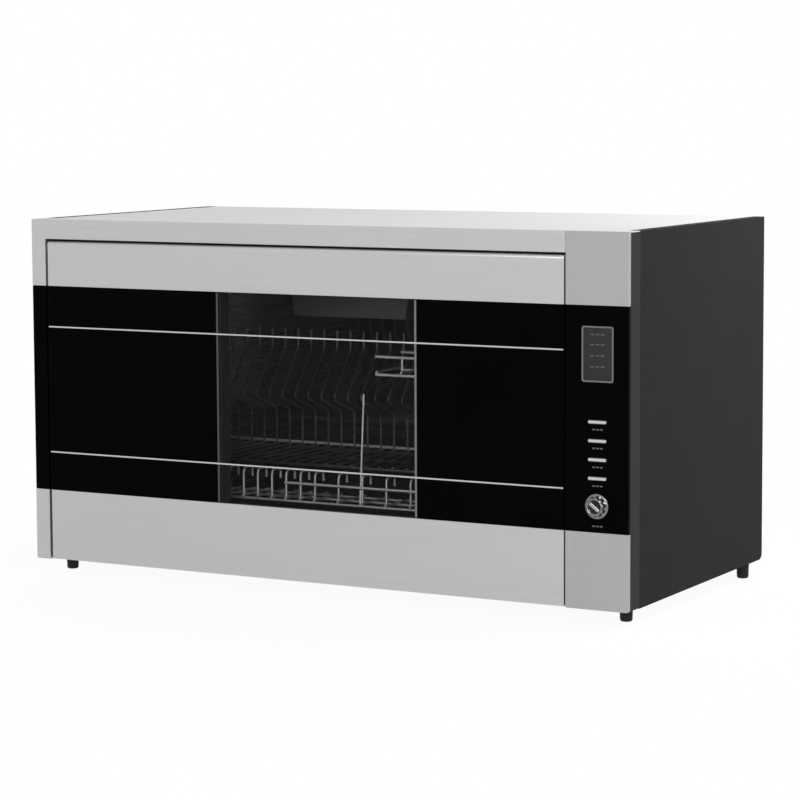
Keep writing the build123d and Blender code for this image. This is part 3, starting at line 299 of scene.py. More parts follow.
# Edges of the CAD pieces: rounded by modifiers, because sheet and mouldings are never sharp
TRIM_EDGE = 0.4
SHEET_EDGE = 0.3
THICK_EDGE = 0.5
GASKET_EDGE = 2.4
MERGE_REACH = 0.002
EDGE_ANGLE = 35
trims = ("top_rail_trim", "left_stile_lower_trim", "column_upper_trim", "column_lower_trim")
door_trims = ("door_upper_trim", "door_lower_trim")
panels = ("top_panel", "left_side_panel", "right_side_panel", "control_glass")
inner_sheets = ("drip_tray", "ozone_cover", "rack_brackets")


def soften(name, width, segments=2):
    """Rounds a CAD piece's edges after merging the doubled points of its mesh."""
    weld = nodes[name].modifiers.new("weld", "WELD")
    weld.merge_threshold = MERGE_REACH * MM
    edge = nodes[name].modifiers.new("edge", "BEVEL")
    edge.width = width * MM
    edge.segments = segments
    edge.limit_method = "ANGLE"
    edge.angle_limit = radians(EDGE_ANGLE)


for name in trims + door_trims:
    soften(name, TRIM_EDGE)
for name in panels + inner_sheets:
    soften(name, SHEET_EDGE)
for name in ("left_stile_glass", "window_sleeve"):
    soften(name, THICK_EDGE)
soften("door_gasket", GASKET_EDGE, segments=4)

# Mesh helpers
MERGE_METRES = 1e-7
SMOOTH_ANGLE = 38


def place(name, data, body, finish, *replaced, slot=None):
    """Puts a mesh or curve in the scene, with its material, on the body that it moves with."""
    piece = bpy.data.objects.new(name, data)
    scene.collection.objects.link(piece)
    data.materials.append(finish)
    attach(piece, body)
    if replaced:
        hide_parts(*replaced)
    return piece


def shape(name, build, body, finish, *replaced, slot=None, smooth=True):
    """A piece whose mesh is filled by build(bm), with doubles merged and normals outwards."""
    bm = bmesh.new()
    build(bm)
    bmesh.ops.remove_doubles(bm, verts=bm.verts, dist=MERGE_METRES)
    bmesh.ops.recalc_face_normals(bm, faces=bm.faces)
    mesh = bpy.data.meshes.new(name)
    bm.to_mesh(mesh)
    bm.free()
    if smooth:
        for face in mesh.polygons:
            face.use_smooth = True
        mesh.set_sharp_from_angle(angle=radians(SMOOTH_ANGLE))
    return place(name, mesh, body, finish, *replaced, slot=slot)


def bridge(bm, lower, upper):
    """Quads between two closed rings with as many points."""
    for index in range(len(lower)):
        after = (index + 1) % len(lower)
        bm.faces.new((lower[index], lower[after], upper[after], upper[index]))


def skin(bm, rings):
    """Quads over rings of points. Gives the rings' vertices."""
    made = [[bm.verts.new(Vector(point) * MM) for point in ring] for ring in rings]
    for lower, upper in zip(made, made[1:]):
        bridge(bm, lower, upper)
    return made


def solid(bm, rings):
    """A skin closed by a face at each end."""
    made = skin(bm, rings)
    bm.faces.new(list(reversed(made[0])))
    bm.faces.new(made[-1])


def hollow(bm, rings):
    """A skin whose last ring joins its first one, round an open middle."""
    made = skin(bm, rings)
    bridge(bm, made[-1], made[0])


def turned(origin, axis, profile, steps=64):
    """Rings of a lathe shape. A profile's rows are (distance along the axis, radius), and a radius
    may be a function of the angle."""
    way = Vector(axis)
    first = way.orthogonal().normalized()
    second = way.cross(first)
    rings = []
    for along, radius in profile:
        centre = Vector(origin) + way * along
        ring = []
        for step in range(steps):
            angle = 2 * pi * step / steps
            reach = radius(angle) if callable(radius) else radius
            ring.append(centre + first * (reach * cos(angle)) + second * (reach * sin(angle)))
        rings.append(ring)
    return rings


def rounded_rectangle(width, height, radius, arc=6):
    """Points round a rectangle with rounded corners, centred on the origin."""
    points = []
    for turn, (side, end) in enumerate(((1, 1), (-1, 1), (-1, -1), (1, -1))):
        corner_x = side * (width / 2 - radius)
        corner_z = end * (height / 2 - radius)
        for step in range(arc + 1):
            angle = (turn + step / arc) * pi / 2
            points.append((corner_x + radius * cos(angle), corner_z + radius * sin(angle)))
    return points


def facing(outline, x, y, z):
    """An outline that faces the front at depth y, with its middle at x and z."""
    return [(x + u, y, z + v) for u, v in outline]


def pane(x, y, z):
    """A rectangle that faces the front at depth y, between the ends of x and z."""
    return [(x[0], y, z[0]), (x[1], y, z[0]), (x[1], y, z[1]), (x[0], y, z[1])]


# Door glass: one sheet, printed black on both sides of a tinted window
GLASS_EASE = 0.6
PRINT_SINK = 0.02
LINE_LIFT = 0.03
LINE_WIDTH = 2.6
LINE_MARGIN = 0.2
LINE_END = 1.0


def glass_sheet(name, ends, finish, left_edge, right_edge):
    """A flat piece of the sheet, with ground edges where the sheet itself ends."""

    def build(bm):
        rings = []
        for y, inset in ((FACE_BACK, 0.0), (Y_FRONT + GLASS_EASE, 0.0), (Y_FRONT, GLASS_EASE)):
            x = (ends[0] + inset * left_edge, ends[1] - inset * right_edge)
            z = (GLASS_Z[0] + inset, GLASS_Z[1] - inset)
            rings.append(pane(x, y, z))
        solid(bm, rings)

    shape(name, build, "door", finish, "door_glass", slot="door_glass", smooth=False)


def window_line_pair(bm):
    """Two printed lines that close the window's sides."""
    left = SLEEVE_X[0] + LINE_MARGIN
    right = SLEEVE_X[1] - LINE_MARGIN
    z = (GLASS_Z[0] + LINE_END, GLASS_Z[1] - LINE_END)
    for x in ((left, left + LINE_WIDTH), (right - LINE_WIDTH, right)):
        solid(bm, [pane(x, Y_FRONT + PRINT_SINK, z), pane(x, Y_FRONT - LINE_LIFT, z)])


glass_sheet("door_glass_left_print", (DOOR_X[0], SLEEVE_X[0]), BLACK_GLASS, 1, 0)
glass_sheet("door_glass_window", SLEEVE_X, TINTED, 0, 0)
glass_sheet("door_glass_right_print", (SLEEVE_X[1], DOOR_X[1]), BLACK_GLASS, 0, 1)
window_lines = shape("window_lines", window_line_pair, "door", PRINT, slot="door_glass", smooth=False)
# The left line gets the darker copy of the print, as painted shade
window_lines.data.materials.append(SHADED_PRINT)
for face in window_lines.data.polygons:
    face.material_index = int(face.center.x < 0)

# Push buttons: crowned capsule caps on a flange and a stem, bright on top, with painted shade on the rim in
# a darker copy of the plating
BUTTONS = ["button_%d" % number for number in range(1, 5)]
FLANGE_LIP = 1.6
FLANGE_Y = (FACE_BACK + 0.4, FACE_BACK + 2.2)
FLANGE_CORNER = 0.8
STEM = 3.0
STEM_CORNER = 0.4
CROWN = ((0.0, 0.9), (0.12, 0.55), (0.45, 0.25), (1.0, 0.08), (1.8, 0.0))
CROWN_TOP = -0.97


def button_cap(node):
    """One cap. CROWN's rows are its inset from the side and its drop from the tip."""
    tip, stem_end = span(node, Y)
    flange = (extent(node, X), extent(node, Z), FLANGE_CORNER)
    width = flange[0] - 2 * FLANGE_LIP
    height = flange[1] - 2 * FLANGE_LIP
    z = middle(node, Z)

    def ring(y, *sizes):
        return facing(rounded_rectangle(*sizes), COLUMN_X, y, z)

    def capsule(inset, y):
        return ring(y, width - 2 * inset, height - 2 * inset, height / 2 - inset)

    def build(bm):
        rings = [ring(y, STEM, STEM, STEM_CORNER) for y in (stem_end, FLANGE_Y[1])]
        rings += [ring(y, *flange) for y in reversed(FLANGE_Y)]
        rings.append(capsule(0.0, FLANGE_Y[0]))
        rings += [capsule(inset, tip + drop) for inset, drop in CROWN]
        solid(bm, rings)

    cap = shape("%s_cap" % node, build, node, SATIN, node, slot="chrome_plastic")
    # Every face that doesn't face the front gets the darker copy: painted shade where the crown curves away
    cap.data.materials.append(BUTTON_SHADE)
    for face in cap.data.polygons:
        face.material_index = int(face.normal.y > CROWN_TOP)


for node in BUTTONS:
    button_cap(node)

# Knob: a skirt, a fluted grip and a dished face lined with a dark disc of painted shade, and a bar to hold
# it by
KNOB_BACK = Y_FRONT - 0.6
KNOB_Z = middle("knob", Z)
SKIRT_R = 14.15
GRIP_R = 11.6
FLUTES = 10
FLUTE_DEPTH = 1.5
DISH_R = 7.3
DISH_FLOOR = 7.3
KNOB_FACE = 8.85
BAR = (14.6, 4.0)
BAR_CORNER = 1.9
BAR_TURN = 38


def fluted(radius, depth):
    """A grip's outline: rounded ribs with hollows between them."""
    return lambda angle: radius - depth * (0.5 - 0.5 * cos(FLUTES * angle)) ** 2


def knob_cap(bm):
    """The turned cap, from the skirt's back over the grip to the dish's floor."""
    profile = [
        (-0.2, SKIRT_R - 1.25),
        (0.0, SKIRT_R - 0.35),
        (0.4, SKIRT_R),
        (1.4, SKIRT_R),
        (1.9, SKIRT_R - 0.25),
        (2.2, SKIRT_R - 0.85),
        (2.3, fluted(GRIP_R + 0.4, 0.9)),
        (2.8, fluted(GRIP_R, FLUTE_DEPTH)),
        (6.6, fluted(GRIP_R - 0.2, FLUTE_DEPTH)),
        (7.7, fluted(GRIP_R - 0.6, 1.2)),
        (8.4, fluted(GRIP_R - 1.3, 0.7)),
        (8.8, DISH_R + 2.0),
        (KNOB_FACE, DISH_R + 1.3),
        (8.6, DISH_R + 0.7),
        (8.0, DISH_R + 0.2),
        (7.4, DISH_R),
        (DISH_FLOOR, DISH_R - 0.2),
        (DISH_FLOOR, 3.0),
    ]
    solid(bm, turned((COLUMN_X, KNOB_BACK, KNOB_Z), (0, -1, 0), profile, steps=120))


def knob_bar(bm):
    """A rounded bar across the dish."""
    rings = []
    for rise, inset in ((7.2, 0.0), (8.4, 0.0), (8.7, 0.25), (KNOB_FACE, 0.7)):
        outline = rounded_rectangle(BAR[0] - 2 * inset, BAR[1] - 2 * inset, BAR_CORNER - inset)
        rings.append(facing(outline, COLUMN_X, KNOB_BACK - rise, KNOB_Z))
    solid(bm, rings)
    turn = Matrix.Rotation(radians(BAR_TURN), 4, "Y")
    centre = Vector((COLUMN_X, 0, KNOB_Z)) * MM
    bmesh.ops.rotate(bm, cent=centre, matrix=turn, verts=bm.verts)


def knob_dish_shade(bm):
    """The dark disc that lines the dish: painted shade in the recess."""
    profile = [
        (DISH_FLOOR - 0.05, DISH_R - 0.3),
        (DISH_FLOOR + 0.2, DISH_R - 0.2),
        (DISH_FLOOR + 0.3, DISH_R - 0.4),
        (DISH_FLOOR + 0.35, DISH_R - 0.9),
        (DISH_FLOOR + 0.35, 2.0),
    ]
    solid(bm, turned((COLUMN_X, KNOB_BACK, KNOB_Z), (0, -1, 0), profile))


shape("knob_cap", knob_cap, "knob", CHROME, "knob", slot="chrome_plastic")
shape("knob_bar", knob_bar, "knob", GRIP, slot="chrome_plastic")
shape("knob_dish_shade", knob_dish_shade, "knob", DISH_SHADE, slot="component_black")


# Display: a bezel with rounded corners round its dark face
def display_surround(bm):
    """The bezel's section as rows of (inset from its outline, depth, corner radius)."""
    front, back = span("display_bezel", Y)
    section = [
        (1.2, back, 1.0),
        (1.2, Y_FRONT, 1.0),
        (0.0, Y_FRONT, 2.6),
        (0.0, front + 0.45, 2.6),
        (0.12, front + 0.2, 2.5),
        (0.4, front, 2.2),
        (1.3, front, 1.4),
        (1.75, front + 0.2, 1.0),
        (2.0, front + 0.6, 0.8),
        (2.0, back, 0.8),
    ]
    width = extent("display_bezel", X)
    height = extent("display_bezel", Z)
    z = middle("display_bezel", Z)
    rings = []
    for inset, y, corner in section:
        outline = rounded_rectangle(width - 2 * inset, height - 2 * inset, corner)
        rings.append(facing(outline, COLUMN_X, y, z))
    hollow(bm, rings)


shape("display_surround", display_surround, "cabinet", BEZEL, "display_bezel", slot="bezel_grey")

# Marks: rows of plain dashes on the display, and dashes under each control
DISPLAY_FACE = span("display_module", Y)[0]
DISPLAY_ROWS = (21.8, 10.5, -1.7, -14.0)
DISPLAY_DASHES = ((-6.5, 5.0), (0.0, 4.0), (6.0, 5.0))
DISPLAY_DASH_HEIGHT = 1.3
LABEL_DASHES = (-4.6, 0.0, 4.6)
LABEL_DASH = (3.6, 1.7)
BUTTON_LABEL_DROP = 8.4
KNOB_LABEL_DROP = 22.5
MARK_LIFT = 0.04
DASH_ROUND = 0.45


def dashes(name, rows, y):
    """Printed dashes: rows of (x, z, width, height) on a face at depth y."""

    def build(bm):
        for x, z, width, height in rows:
            outline = rounded_rectangle(width, height, height * DASH_ROUND, arc=3)
            solid(bm, [facing(outline, x, depth, z) for depth in (y + PRINT_SINK, y - MARK_LIFT)])

    shape(name, build, "cabinet", MARK, smooth=False)


display_rows = []
for row_z in DISPLAY_ROWS:
    z = middle("display_module", Z) + row_z
    display_rows += [(COLUMN_X + x, z, width, DISPLAY_DASH_HEIGHT) for x, width in DISPLAY_DASHES]
dashes("display_marks", display_rows, DISPLAY_FACE)
label_heights = [middle(node, Z) - BUTTON_LABEL_DROP for node in BUTTONS]
label_heights.append(KNOB_Z - KNOB_LABEL_DROP)
label_rows = [(COLUMN_X + x, z, *LABEL_DASH) for z in label_heights for x in LABEL_DASHES]
dashes("control_marks", label_rows, Y_FRONT)

# Feet: turned rubber with a rounded tread and a screw well
FOOT_R = 7.6
FOOT_TOP_R = 7.4
FOOT_BORE = 1.9
WELL_DEPTH = 8.0
FRONT_FOOT_X = 378.0
REAR_FOOT_X = span("feet", X)[1] - FOOT_R
FOOT_Y = (span("feet", Y)[0] + FOOT_R, span("feet", Y)[1] - FOOT_R)
FRONT_SEAT = span("bottom_panel", Z)[0]
REAR_SEAT = span("right_side_panel", Z)[0]
foot_places = []
for side in (-1, 1):
    foot_places.append((side * FRONT_FOOT_X, FOOT_Y[0], FRONT_SEAT))
    foot_places.append((side * REAR_FOOT_X, FOOT_Y[1], REAR_SEAT))


def rubber_feet(bm):
    for x, y, seat in foot_places:
        profile = [
            (seat, FOOT_BORE),
            (seat, FOOT_TOP_R),
            (seat - 0.8, FOOT_R),
            (2.6, FOOT_R - 0.5),
            (1.2, FOOT_R - 0.8),
            (0.4, FOOT_R - 1.4),
            (0.0, FOOT_R - 2.2),
            (0.0, 4.4),
            (0.4, 4.0),
            (WELL_DEPTH, 3.9),
            (WELL_DEPTH, FOOT_BORE),
        ]
        hollow(bm, turned((x, y, 0), (0, 0, 1), profile, steps=48))


shape("rubber_feet", rubber_feet, "cabinet", RUBBER, "feet", slot="rubber")

# Screws: pan heads with a cross recess, given as (head radius, head height, shank radius)
PANEL_SCREW = (3.6, 2.2, 1.6)
SMALL_SCREW = (3.2, 1.6, 1.4)
BACK_SCREW_LENGTH = 7.0
FOOT_SCREW_LENGTH = 19.0
SIDE_SCREW_X = 393.0
SIDE_SCREW_Z = (102.0, 354.0)
EDGE_SCREW_X = 200.0
EDGE_SCREW_Z = (27.0, 431.0)

# The recess as shares of the head: an arm's reach and half width, the floor's height and its taper
RECESS_REACH = 0.5
RECESS_HALF = 0.11
RECESS_FLOOR = 0.45
RECESS_TAPER = 0.8


def cross_outline(reach, half_width):
    """The twelve points of a cross, centred on the origin."""
    points = []
    for turn in range(4):
        angle = turn * pi / 2
        for u, v in ((reach, -half_width), (reach, half_width), (half_width, half_width)):
            points.append((u * cos(angle) - v * sin(angle), u * sin(angle) + v * cos(angle)))
    return points


def fill(bm, *loops):
    """Triangles over what closed loops of vertices enclose."""
    edges = []
    for loop in loops:
        edges += [bm.edges.get((loop[i], loop[(i + 1) % len(loop)])) for i in range(len(loop))]
    bmesh.ops.triangle_fill(bm, use_beauty=True, edges=edges)


def screw(bm, seat, axis, sizes, length):
    """One screw whose head's underside is at seat and whose head points along axis."""
    head, height, shank = sizes
    way = Vector(axis)
    first = way.orthogonal().normalized()
    second = way.cross(first)

    def cross(along, scale):
        centre = Vector(seat) + way * along
        outline = cross_outline(head * RECESS_REACH * scale, head * RECESS_HALF * scale)
        return [centre + first * u + second * v for u, v in outline]

    profile = [
        (-length, shank * 0.5),
        (-length + shank, shank),
        (0.0, shank),
        (0.0, head),
        (height * 0.35, head),
        (height * 0.65, head * 0.94),
        (height * 0.88, head * 0.8),
        (height, head * 0.62),
    ]
    outside = skin(bm, turned(seat, axis, profile, steps=32))
    recess = skin(bm, [cross(height * RECESS_FLOOR, RECESS_TAPER), cross(height, 1.0)])
    bm.faces.new(list(reversed(outside[0])))
    fill(bm, outside[-1], recess[1])
    fill(bm, recess[0])


def back_screws(bm):
    places = [(side * SIDE_SCREW_X, z) for side in (-1, 1) for z in SIDE_SCREW_Z]
    places += [(side * EDGE_SCREW_X, z) for side in (-1, 1) for z in EDGE_SCREW_Z]
    for x, z in places:
        screw(bm, (x, CABINET_BACK, z), (0, 1, 0), PANEL_SCREW, BACK_SCREW_LENGTH)


def foot_screws(bm):
    for x, y, _ in foot_places:
        screw(bm, (x, y, WELL_DEPTH), (0, 0, -1), PANEL_SCREW, FOOT_SCREW_LENGTH)


shape("back_screws", back_screws, "cabinet", ZINC, "back_panel_screws", slot="zinc")
shape("foot_well_screws", foot_screws, "cabinet", ZINC, "foot_screws", slot="zinc")

# Cord gland: a hexagon nut under a ribbed dome, with the cord's bore left open
GLAND_BORE = 4.0
THREAD_R = 6.5
THREAD_LENGTH = 9.0
NUT_APOTHEM = 8.2
GLAND_RIBS = 18
RIB_DEPTH = 0.4


def hexagon(limit):
    """The nut's outline with its corners cut by a round."""
    return lambda angle: min(limit, NUT_APOTHEM / cos((angle + pi / 6) % (pi / 3) - pi / 6))


def ribbed(radius):
    """A round outline with shallow ribs."""
    return lambda angle: radius - RIB_DEPTH * (0.5 - 0.5 * cos(GLAND_RIBS * angle))


def gland_nut(bm):
    profile = [
        (-THREAD_LENGTH, GLAND_BORE),
        (-THREAD_LENGTH, THREAD_R - 0.5),
        (-THREAD_LENGTH + 0.5, THREAD_R),
        (0.0, THREAD_R),
        (0.0, hexagon(8.9)),
        (0.5, hexagon(9.4)),
        (4.0, hexagon(9.4)),
        (4.6, hexagon(8.8)),
        (4.7, 7.4),
        (5.2, ribbed(7.3)),
        (7.8, ribbed(7.0)),
        (9.0, 6.4),
        (9.7, 5.6),
        (10.0, 4.8),
        (9.9, 4.2),
        (9.4, GLAND_BORE),
    ]
    seat = span("cord_gland", Y)[0] + THREAD_LENGTH
    origin = (middle("cord_gland", X), seat, middle("cord_gland", Z))
    hollow(bm, turned(origin, (0, 1, 0), profile, steps=72))


shape("gland_nut", gland_nut, "cabinet", COMPONENT, "cord_gland", slot="rubber")

# Racks of round bent wire at the places of the solids, whose wires are six-sided
WIRE_R = 1.4
RAIL_R = 1.8
SIX_SIDED_R = WIRE_R / cos(pi / 6)
WELD_GAP = 0.02
SIDE_GAP = 0.3
OVERHANG = 2 * RAIL_R
WIDE_PITCH = 32.3
BEND_ROOM = 0.48


def bent(points, radius, arc=5):
    """A wire's path with its corners rounded, each within its share of the wire's straight runs."""
    path = [Vector(points[0])]
    for before, corner, after in zip(points, points[1:], points[2:]):
        corner = Vector(corner)
        inward = Vector(before) - corner
        outward = Vector(after) - corner
        half_turn = inward.angle(outward) / 2
        room = BEND_ROOM * min(inward.length, outward.length)
        reach = min(radius / abs(sin(half_turn)) * cos(half_turn), room)
        start = corner + inward.normalized() * reach
        end = corner + outward.normalized() * reach
        for step in range(arc + 1):
            share = step / arc
            path.append(start * (1 - share) ** 2 + corner * (2 * share * (1 - share)) + end * share**2)
    path.append(Vector(points[-1]))
    return path


def across(radius, x, y, z):
    """A straight wire along X, between the ends of x."""
    return radius, [(x[0], y, z), (x[1], y, z)]


def inwards(radius, x, y, z):
    """A straight wire along Y, between the ends of y."""
    return radius, [(x, y[0], z), (x, y[1], z)]


def above(z, lower_radius, upper_radius):
    """The height of a wire that is welded on top of another one."""
    return z + lower_radius + upper_radius + WELD_GAP


def wires(name, runs, finish, replaced):
    """Round wires of one welded piece: runs are (radius, path). The curve's bevel is a millimetre
    deep, so that a point's radius is in millimetres too."""
    curve = bpy.data.curves.new(name, "CURVE")
    curve.dimensions = "3D"
    curve.bevel_depth = MM
    curve.bevel_resolution = 2
    curve.use_fill_caps = True
    for radius, path in runs:
        spline = curve.splines.new("POLY")
        spline.points.add(len(path) - 1)
        for point, spot in zip(spline.points, path):
            point.co = (*(Vector(spot) * MM), 1.0)
            point.radius = radius
        spline.use_smooth = True
    place(name, curve, "cabinet", finish, replaced, slot="rack_wire")


# Plate rack: rails with wires across them, a tie rail at the back, and zigzag dividers
RACK_X = span("plate_rack_base", X)
PLATE_Y = span("plate_rack_base", Y)
PLATE_RAIL_Z = span("plate_rack_base", Z)[0] + RAIL_R
PLATE_WIRE_Z = above(PLATE_RAIL_Z, RAIL_R, WIRE_R)
TIE_Y = PLATE_Y[1] - OVERHANG
TIE_Z = above(PLATE_WIRE_Z, WIRE_R, RAIL_R)
DIVIDERS = 26
DIVIDER_ENDS = span("plate_dividers", X)
DIVIDER_PITCH = (DIVIDER_ENDS[1] - DIVIDER_ENDS[0] - 2 * SIX_SIDED_R) / (DIVIDERS - 1)
DIVIDER_X = [DIVIDER_ENDS[0] + SIX_SIDED_R + DIVIDER_PITCH * index for index in range(DIVIDERS)]
DIVIDER_Z = span("plate_dividers", Z)
DIVIDER_BEND = 8.0
DIVIDER_FOOT_Y = TIE_Y - RAIL_R - WIRE_R - SIDE_GAP
DIVIDER_KINK_Y = 9.2
DIVIDER_HEAD_Y = 49.8
DIVIDER_KNEE_Z = 188.72
DIVIDER_KINK_Z = (208.5, 215.1)
DIVIDER_SHOULDER_Z = 269.7
front_rail = PLATE_Y[0] + OVERHANG
plate_rails = (front_rail, (front_rail + DIVIDER_FOOT_Y) / 2, DIVIDER_FOOT_Y)
plate_base = [across(RAIL_R, RACK_X, y, PLATE_RAIL_Z) for y in plate_rails]
plate_base += [inwards(WIRE_R, x, PLATE_Y, PLATE_WIRE_Z) for x in DIVIDER_X]
divider_path = (
    (DIVIDER_FOOT_Y, DIVIDER_Z[0]),
    (DIVIDER_FOOT_Y, DIVIDER_KNEE_Z),
    (DIVIDER_KINK_Y, DIVIDER_KINK_Z[0]),
    (DIVIDER_KINK_Y, DIVIDER_KINK_Z[1]),
    (DIVIDER_HEAD_Y, DIVIDER_SHOULDER_Z),
    (DIVIDER_HEAD_Y, DIVIDER_Z[1]),
)
dividers = [(WIRE_R, bent([(x, y, z) for y, z in divider_path], DIVIDER_BEND)) for x in DIVIDER_X]
wires("plate_rack_wires", plate_base, PLATE_WIRE, "plate_rack_base")
# The tie rail takes the near-white copy of the wire: a painted highlight
wires("plate_tie_wire", [across(RAIL_R, RACK_X, TIE_Y, TIE_Z)], TIE_HIGHLIGHT, "plate_rack_base")
wires("plate_divider_wires", dividers, PLATE_WIRE, "plate_dividers")

# Cup rack: hooked uprights at two pitches, a guard rail before them, and a leaning post
CUP_Y = span("cup_rack_base", Y)
CUP_FRONT = CUP_Y[0] + OVERHANG
CUP_RAIL_Z = span("cup_rack_base", Z)[0] + RAIL_R
CUP_WIRE_Z = above(CUP_RAIL_Z, RAIL_R, WIRE_R)
CLOSE_PITCH = 19.9
CLOSE_HOOKS = 16
WIDE_HOOKS = 9
HOOK_RISE = 31.6
HOOK_REACH = 20.0
HOOK_DROP = 12.0
HOOK_BEND = 7.0
GUARD_LEFT = -65.0
GUARD_Y = CUP_FRONT - WIRE_R - RAIL_R - SIDE_GAP
GUARD_Z = 128.5
POST_X = 36.15
POST_Z = span("cup_rack_uprights", Z)
POST_LEAN = 10.5
first_hook = span("cup_rack_uprights", X)[0] + SIX_SIDED_R
pitch_change = first_hook + CLOSE_PITCH * (CLOSE_HOOKS - 1)
hook_x = [first_hook + CLOSE_PITCH * index for index in range(CLOSE_HOOKS)]
hook_x += [pitch_change + WIDE_PITCH * (index + 1) for index in range(WIDE_HOOKS)]
cup_rails = (CUP_FRONT, (CUP_FRONT + CUP_Y[1]) / 2, CUP_Y[1] - OVERHANG)
cup_base = [across(RAIL_R, RACK_X, y, CUP_RAIL_Z) for y in cup_rails]
cup_base += [inwards(WIRE_R, x, CUP_Y, CUP_WIRE_Z) for x in hook_x]
hook_foot = CUP_WIRE_Z + WIRE_R
hook_top = hook_foot + HOOK_RISE
hook_path = (
    (CUP_FRONT, hook_foot),
    (CUP_FRONT, hook_top),
    (CUP_FRONT + HOOK_REACH, hook_top),
    (CUP_FRONT + HOOK_REACH, hook_top - HOOK_DROP),
)
hooks = [(WIRE_R, bent([(x, y, z) for y, z in hook_path], HOOK_BEND)) for x in hook_x]
hooks.append(across(RAIL_R, (GUARD_LEFT, RACK_X[1]), GUARD_Y, GUARD_Z))
hooks.append((WIRE_R, [(POST_X, CUP_FRONT, POST_Z[0]), (POST_X, CUP_FRONT + POST_LEAN, POST_Z[1])]))
wires("cup_rack_wires", cup_base, WIRE, "cup_rack_base")
wires("cup_hook_wires", hooks, WIRE, "cup_rack_uprights")

# Hanging shelf: four rails, ties and struts on a plate with rounded corners at the right wall
SHELF_X = span("hanging_shelf", X)
SHELF_Y = span("hanging_shelf", Y)
SHELF_Z = span("hanging_shelf", Z)
SHELF_PLATE_THICK = 1.2
SHELF_TIES = 7
PLATE_CORNER = 5.0
PLATE_EASE = 0.3
PLATE_SCREW_OFFSET = 15.0
PLATE_SCREW_LENGTH = 1.1
plate_face = SHELF_X[1] - SHELF_PLATE_THICK
rail_y = (SHELF_Y[0] + OVERHANG, SHELF_Y[1] - OVERHANG)
rail_z = (SHELF_Z[0] + OVERHANG, SHELF_Z[1] - OVERHANG)
tie_x = [SHELF_X[0] + 2 * WIRE_R + WIDE_PITCH * index for index in range(SHELF_TIES)]
tie_z = above(rail_z[0], RAIL_R, WIRE_R)
strut_z = (tie_z + WIRE_R + WELD_GAP, rail_z[1] - RAIL_R - WELD_GAP)
shelf = [across(RAIL_R, (SHELF_X[0], plate_face), y, z) for y in rail_y for z in rail_z]
shelf += [inwards(WIRE_R, x, SHELF_Y, tie_z) for x in tie_x]
shelf += [(WIRE_R, [(x, y, z) for z in strut_z]) for x in tie_x[1::2] for y in rail_y]
wires("shelf_wires", shelf, WIRE, "hanging_shelf")


def shelf_plate(bm):
    """The plate, eased round its face, with two screws."""
    width = extent("hanging_shelf", Y)
    height = extent("hanging_shelf", Z)
    centre = (middle("hanging_shelf", Y), middle("hanging_shelf", Z))
    outline = rounded_rectangle(width, height, PLATE_CORNER)
    rings = []
    for x, inset in ((SHELF_X[1], 0.0), (plate_face + PLATE_EASE, 0.0), (plate_face, PLATE_EASE)):
        wide = 1 - 2 * inset / width
        high = 1 - 2 * inset / height
        rings.append([(x, centre[0] + u * wide, centre[1] + v * high) for u, v in outline])
    solid(bm, rings)
    for offset in (-PLATE_SCREW_OFFSET, PLATE_SCREW_OFFSET):
        seat = (plate_face, centre[0] + offset, centre[1])
        screw(bm, seat, (-1, 0, 0), SMALL_SCREW, PLATE_SCREW_LENGTH)


shape("shelf_plate", shelf_plate, "cabinet", LINER_SIDE, slot="liner_steel")

# Stage, in metres: a pale floor that runs out into a white surround
WHITE = (1.0, 1.0, 1.0, 1.0)
WORLD_FILL = 0.45
FLOOR_REACH = 40.0
FLOOR_TONE = (0.9, 0.9, 0.9, 1.0)
FLOOR_ROUGHNESS = 0.9
FLOOR_GLOW = 0.95
GLOW_FADE = (0.4, 1.1)


def combined(tree, operation, first, second):
    """Two values joined by a Math node."""
    node = tree.nodes.new("ShaderNodeMath")
    node.operation = operation
    tree.links.new(first, node.inputs[0])
    tree.links.new(second, node.inputs[1])
    return node.outputs["Value"]


def seen_share(tree):
    """1 for rays that see the stage, straight, mirrored or through glass, and 0 for the others."""
    paths = tree.nodes.new("ShaderNodeLightPath").outputs
    mirrored = combined(tree, "MAXIMUM", paths["Is Camera Ray"], paths["Is Glossy Ray"])
    return combined(tree, "MAXIMUM", mirrored, paths["Is Transmission Ray"])


def light_world():
    """A surround that looks white and fills the shadows more weakly."""
    world = bpy.data.worlds.new("studio")
    scene.world = world
    world.use_nodes = True
    tree = world.node_tree
    background = tree.nodes["Background"]
    background.inputs["Color"].default_value = WHITE
    strength = tree.nodes.new("ShaderNodeMapRange")
    strength.inputs["To Min"].default_value = WORLD_FILL
    strength.inputs["To Max"].default_value = 1.0
    tree.links.new(seen_share(tree), strength.inputs["Value"])
    tree.links.new(strength.outputs["Result"], background.inputs["Strength"])


